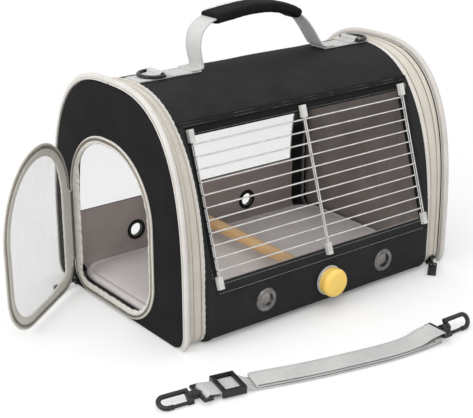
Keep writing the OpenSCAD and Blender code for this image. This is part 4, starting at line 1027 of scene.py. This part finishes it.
# Floor mat: a crowned pad with a rolled edge
def mat_ring(inset):
    r, x, y = MAT_CORNER - inset, MAT_X - MAT_CORNER, MAT_Y - MAT_CORNER
    return [((x if q in (0, 3) else -x) + r * cos(radians(90 * q + 5 * k)),
             (y if q < 2 else -y) + r * sin(radians(90 * q + 5 * k)))
            for q in range(4) for k in range(19)]


# Inset from the edge, and share of the thickness
profile = ((4, 0), (1.5, 0.09), (0.3, 0.25), (0, 0.45), (0.5, 0.62), (2, 0.76), (4, 0.83), (5.5, 0.84),
           (7.3, 0.76), (8.2, 0.71), (9.2, 0.72), (11, 0.79), (14, 0.87), (18, 0.92), (22, 0.95), (32, 1.0))
MAT_RING = 200
rings = [np.c_[even_loop(mat_ring(inset), MAT_RING)[:-1], np.full(MAT_RING, MAT_FOOT + MAT_THICK * share)]
         for inset, share in profile]
rings += [rings[-1] * (1 - t) + np.array((0, 0, MAT_FOOT + MAT_THICK)) * t
          for t in np.linspace(0.1, 0.98, 16)]
grid, order = np.array(rings), np.arange(len(rings))[:, None]
ripples = waves(grid * np.array((1, 1, 0)), ((0.35, 55, 1), (0.25, 20, 3))) * np.clip((order - 3) / 4, 0, 1)
grid[..., 2] += np.where(order >= 3, ripples - 0.25, 0)
verts = grid.reshape(-1, 3)
faces = tube_faces(len(grid), MAT_RING, closed=False)
faces += [cap(0, MAT_RING), cap(len(grid) - 1, MAT_RING, False)]
mat_pad = add_mesh("mat_pad", verts, faces, "mat", "mat", verts[:, :2], "mat_cloth", ["floor_mat"], sharp=60)
seam = [(p[0], p[1], MAT_FOOT + MAT_THICK * 0.72 + 0.1) for p in np.r_[grid[9], grid[9][:1]]]
stitches("mat_stitches", seam, (0, 0, 1), "mat", "pale_thread", pitch=4.0, length=2.6, width=0.45)

# Ridge webbing and the loops that hold the rings
for x0, x1, name in ((-BAND_IN, -86.0, "left"), (100.0, BAND_IN, "right")):
    path = [(x, 0, RIDGE_TOP + 0.12 * sin(x / 7)) for x in np.linspace(x0, x1, 50)]
    strip = sweep(name + "_ridge_webbing", path, (0, 1, 0), ribbon(WEBBING_WIDTH, 1.9), "webbing", "shell",
                  slot="pale_webbing", stands_for=["ridge_webbing"] if name == "left" else [])
    for y in (-11.5, 11.5):
        seam = [(x, y, RIDGE_TOP + 1) for x in np.linspace(x0 + 3, x1 - 3, 40)]
        stitches("%s_ridge_stitches_%d" % (name, y), seam, (0, 0, 1), "shell", "pale_thread",
                 pitch=3.4, length=2.3, width=0.4)
for ring_x, name in D_RINGS:
    foot = [(13, 269.4), (7, 269.5), (4.6, 270.0)]
    hood = [(3.35 * cos(a), 271.3 + 3.35 * sin(a)) for a in np.radians(np.linspace(-8, 188, 30))]
    path = [(ring_x + x, 0, z) for x, z in foot + hood + [(-x, z) for x, z in reversed(foot)]]
    keeper = sweep(name + "_ring_keeper", path, (0, 1, 0), ribbon(STRAP_WIDTH, 1.6), "webbing", "shell",
                   slot="pale_webbing")
    for dx in (-10, 10):
        seam = [(ring_x + dx, y, 270.35) for y in np.linspace(-12, 12, 12)]
        stitches("%s_keeper_stitches_%d" % (name, dx + 20), seam, (0, 0, 1), "shell", "pale_thread",
                 pitch=2.6, length=1.9, width=0.4)


def spline_at(points, u):
    """Point of a smooth curve through points, u = 0 at the first and 1 more at each next one."""
    i = min(max(int(u // 1), 0), len(points) - 2)
    t, pts = u - i, [np.array(p, float) for p in points]
    b, c = pts[i], pts[i + 1]
    a = pts[i - 1] if i > 0 else 2 * b - c
    d = pts[i + 2] if i + 2 < len(pts) else 2 * c - b
    return b + 0.5 * t * (c - a + t * (2 * a - 5 * b + 4 * c - d + t * (3 * (b - c) + d - a)))


# Handle: a webbing loop sewn to the ridge at both feet, with a flat padded grip
handle_route = [(-82, 0), (-86, 14), (-87, 28), (-83, 41), (-70, 51), (-45, 55), (-10, 58), (22, 56),
                (48, 49), (66, 38), (78, 25), (88, 11), (96, 0)]


def handle_path(places, lift=0.0, y=0.0):
    out = []
    for u in places:
        p = spline_at(handle_route, u)
        t = (spline_at(handle_route, min(u + 0.02, len(handle_route) - 1))
             - spline_at(handle_route, max(u - 0.02, 0)))
        n = np.array((-t[1], t[0])) / np.linalg.norm(t)
        out.append((p[0] + n[0] * lift, y, HANDLE_FOOT + p[1] + n[1] * lift))
    return out


LEFT_FOOT = [(-99, 0, 269.9), (-93, 0, 269.9), (-87, 0, 270.1), (-83.5, 0, 271.2)]
RIGHT_FOOT = [(97.5, 0, 271.2), (102, 0, 270.1), (108, 0, 269.9), (114, 0, 269.9)]
path = LEFT_FOOT + handle_path(np.linspace(0.25, 11.8, 110)) + RIGHT_FOOT
webbing = sweep("handle_webbing_strap", path, (0, 1, 0), ribbon(WEBBING_WIDTH, 2.0), "webbing", None,
                slot="pale_webbing", stands_for=["handle_webbing"])
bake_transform(webbing)
GRIP_FROM, GRIP_TO, GRIP_SIZE = 4.25, 8.5, (36, 14)
grip_u = np.linspace(GRIP_FROM, GRIP_TO, 90)
nearness = np.clip(np.minimum(grip_u - grip_u[0], grip_u[-1] - grip_u) / 0.16, 0, 1)
swell = 0.84 + 0.16 * np.sqrt(1 - (1 - nearness) ** 2)
grip_w = [(s * (0.97 + 0.03 * wobble(u * 10, 0, 0, 3, 1)), s * (0.95 + 0.07 * wobble(u * 10, 0, 0, 2, 4)))
          for u, s in zip(grip_u, swell)]
grip = sweep("grip_pad", handle_path(grip_u), (0, 1, 0), oval(*GRIP_SIZE, 32, 0.62), "grip", "handle",
             widths=grip_w, slot="grip_cloth", stands_for=["handle_grip"])
for y in (-14.5, 14.5):
    stitches("grip_stitches_%d" % y, handle_path(np.linspace(4.4, 8.35, 60), 6.4, y), (0, 0, 1), "handle",
             "plastic", pitch=3.6, length=2.3, width=0.35)

# Shoulder strap, folded in three layers between its two hooks
strap_route = [(-234, -217), (-208, -221), (-180, -229), (-125, -246), (-80, -257), (-33, -267), (3, -271),
               (38, -272)]
UNIT_LEFT, UNIT_RIGHT, EYE_WRAP = 26.0, 36.0, 3.2
LOW, MID, TOP, SLIDE = 0.9, 3.9, 6.9, 6.2
LEFT_AXIS, RIGHT_AXIS = 5.2, 9.2


def route_heading(u):
    v = spline_at(strap_route, u + 0.05) - spline_at(strap_route, u - 0.05)
    return v / np.linalg.norm(v)


def route_point(u, z):
    v = min(max(u, 0.001), 6.999)
    p, h = spline_at(strap_route, v), route_heading(v)
    over = (u - v) * (UNIT_LEFT if u < v else UNIT_RIGHT)
    return (p[0] + h[0] * over, p[1] + h[1] * over, z)


def turn(centre, radius, unit, middle, start, sweep_angle, n):
    """Part of a circle as (distance along the route, height)."""
    angles = np.radians(start + sweep_angle * np.arange(n + 1) / n)
    return [(centre + radius * cos(t) / unit, middle + radius * sin(t)) for t in angles]


# The folds as (distance along the route, height), from the left eye to the right eye
profile = [(0.5, LEFT_AXIS - EYE_WRAP), (0.25, LEFT_AXIS - EYE_WRAP)]
profile += turn(0, EYE_WRAP, UNIT_LEFT, LEFT_AXIS, -90, -180, 12)
profile += [(0.35, SLIDE + 0.6), (0.55, SLIDE), (1.6, SLIDE)]
profile += [(1.85, LOW + 1.2), (2.25, LOW), (2.6, LOW), (6.7, LOW)]
profile += turn(6.9, 1.5, UNIT_RIGHT, LOW + 1.5, -90, 180, 10) + [(6.6, MID), (2.2, MID)]
profile += turn(2, 1.5, UNIT_LEFT, MID + 1.5, -90, -180, 10) + [(2.2, TOP), (5.7, TOP)]
profile += [(6.1, TOP + 1), (6.5, RIGHT_AXIS + EYE_WRAP - 1.2)]
profile += turn(7, EYE_WRAP, UNIT_RIGHT, RIGHT_AXIS, 90, -180, 12)
profile += [(6.85, RIGHT_AXIS - EYE_WRAP), (6.65, RIGHT_AXIS - EYE_WRAP)]
fine = []
for (a, za), (b, zb) in zip(profile, profile[1:]):
    steps = max(1, int(abs(b - a) / 0.12))
    fine += [(a + (b - a) * k / steps, za + (zb - za) * k / steps) for k in range(steps)]
fine.append(profile[-1])
path = [route_point(u, z) for u, z in fine]
headings = [route_heading(min(max(u, 0.06), 6.94)) for u, z in fine]
strap = sweep("strap_ribbon", path, [(-h[1], h[0], 0) for h in headings], ribbon(STRAP_WIDTH, 1.7), "strap",
              "strap", slot="strap_webbing", stands_for=["strap_webbing"])

# Small hardware: the front knob's collar, and the button beside the roof's right corner
lathe("knob_collar_ring", ((11.0, 0.2), (17.4, 0.2), (17.9, 0.8), (17.9, 2.6), (17.4, 3.2), (11.0, 3.2)),
      KNOB, (0, -1, 0), "collar", "front_knob")
lathe("corner_button", ((0.05, -0.3), (4.6, -0.3), (4.6, 0.7), (3.8, 1.7), (2.2, 2.3), (0.05, 2.5)),
      (162.4, -86.0, 226), (0, -0.95, 0.31), "olive", "shell")

# Looks of the pieces that keep their CAD shape
FINISH = {
    "board": ["base_board"],
    "steel": ["left_hoop", "right_hoop", "grille_bars", "grille_uprights", "perch_stud"],
    "clips": ["grille_clips"],
    "eyelet": ["front_eyelets"],
    "dark_eyelet": ["back_eyelets"],
    "beech": ["perch"],
    "yellow": ["front_knob", "rear_knob"],
    "enamel": ["door_zip_slider", "door_zip_pull"],
    "plastic": ["strap_slider"],
}
for name in ("left", "right"):
    FINISH["enamel"] += [name + part for part in ("_zip_slider", "_zip_pull")]
    FINISH["plastic"] += [name + part for part in ("_d_ring", "_strap_eye", "_hook", "_gate")]
for mat, nodes in FINISH.items():
    for node in nodes:
        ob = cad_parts[node]
        ob.data.materials.clear()
        ob.data.materials.append(MAT[mat])
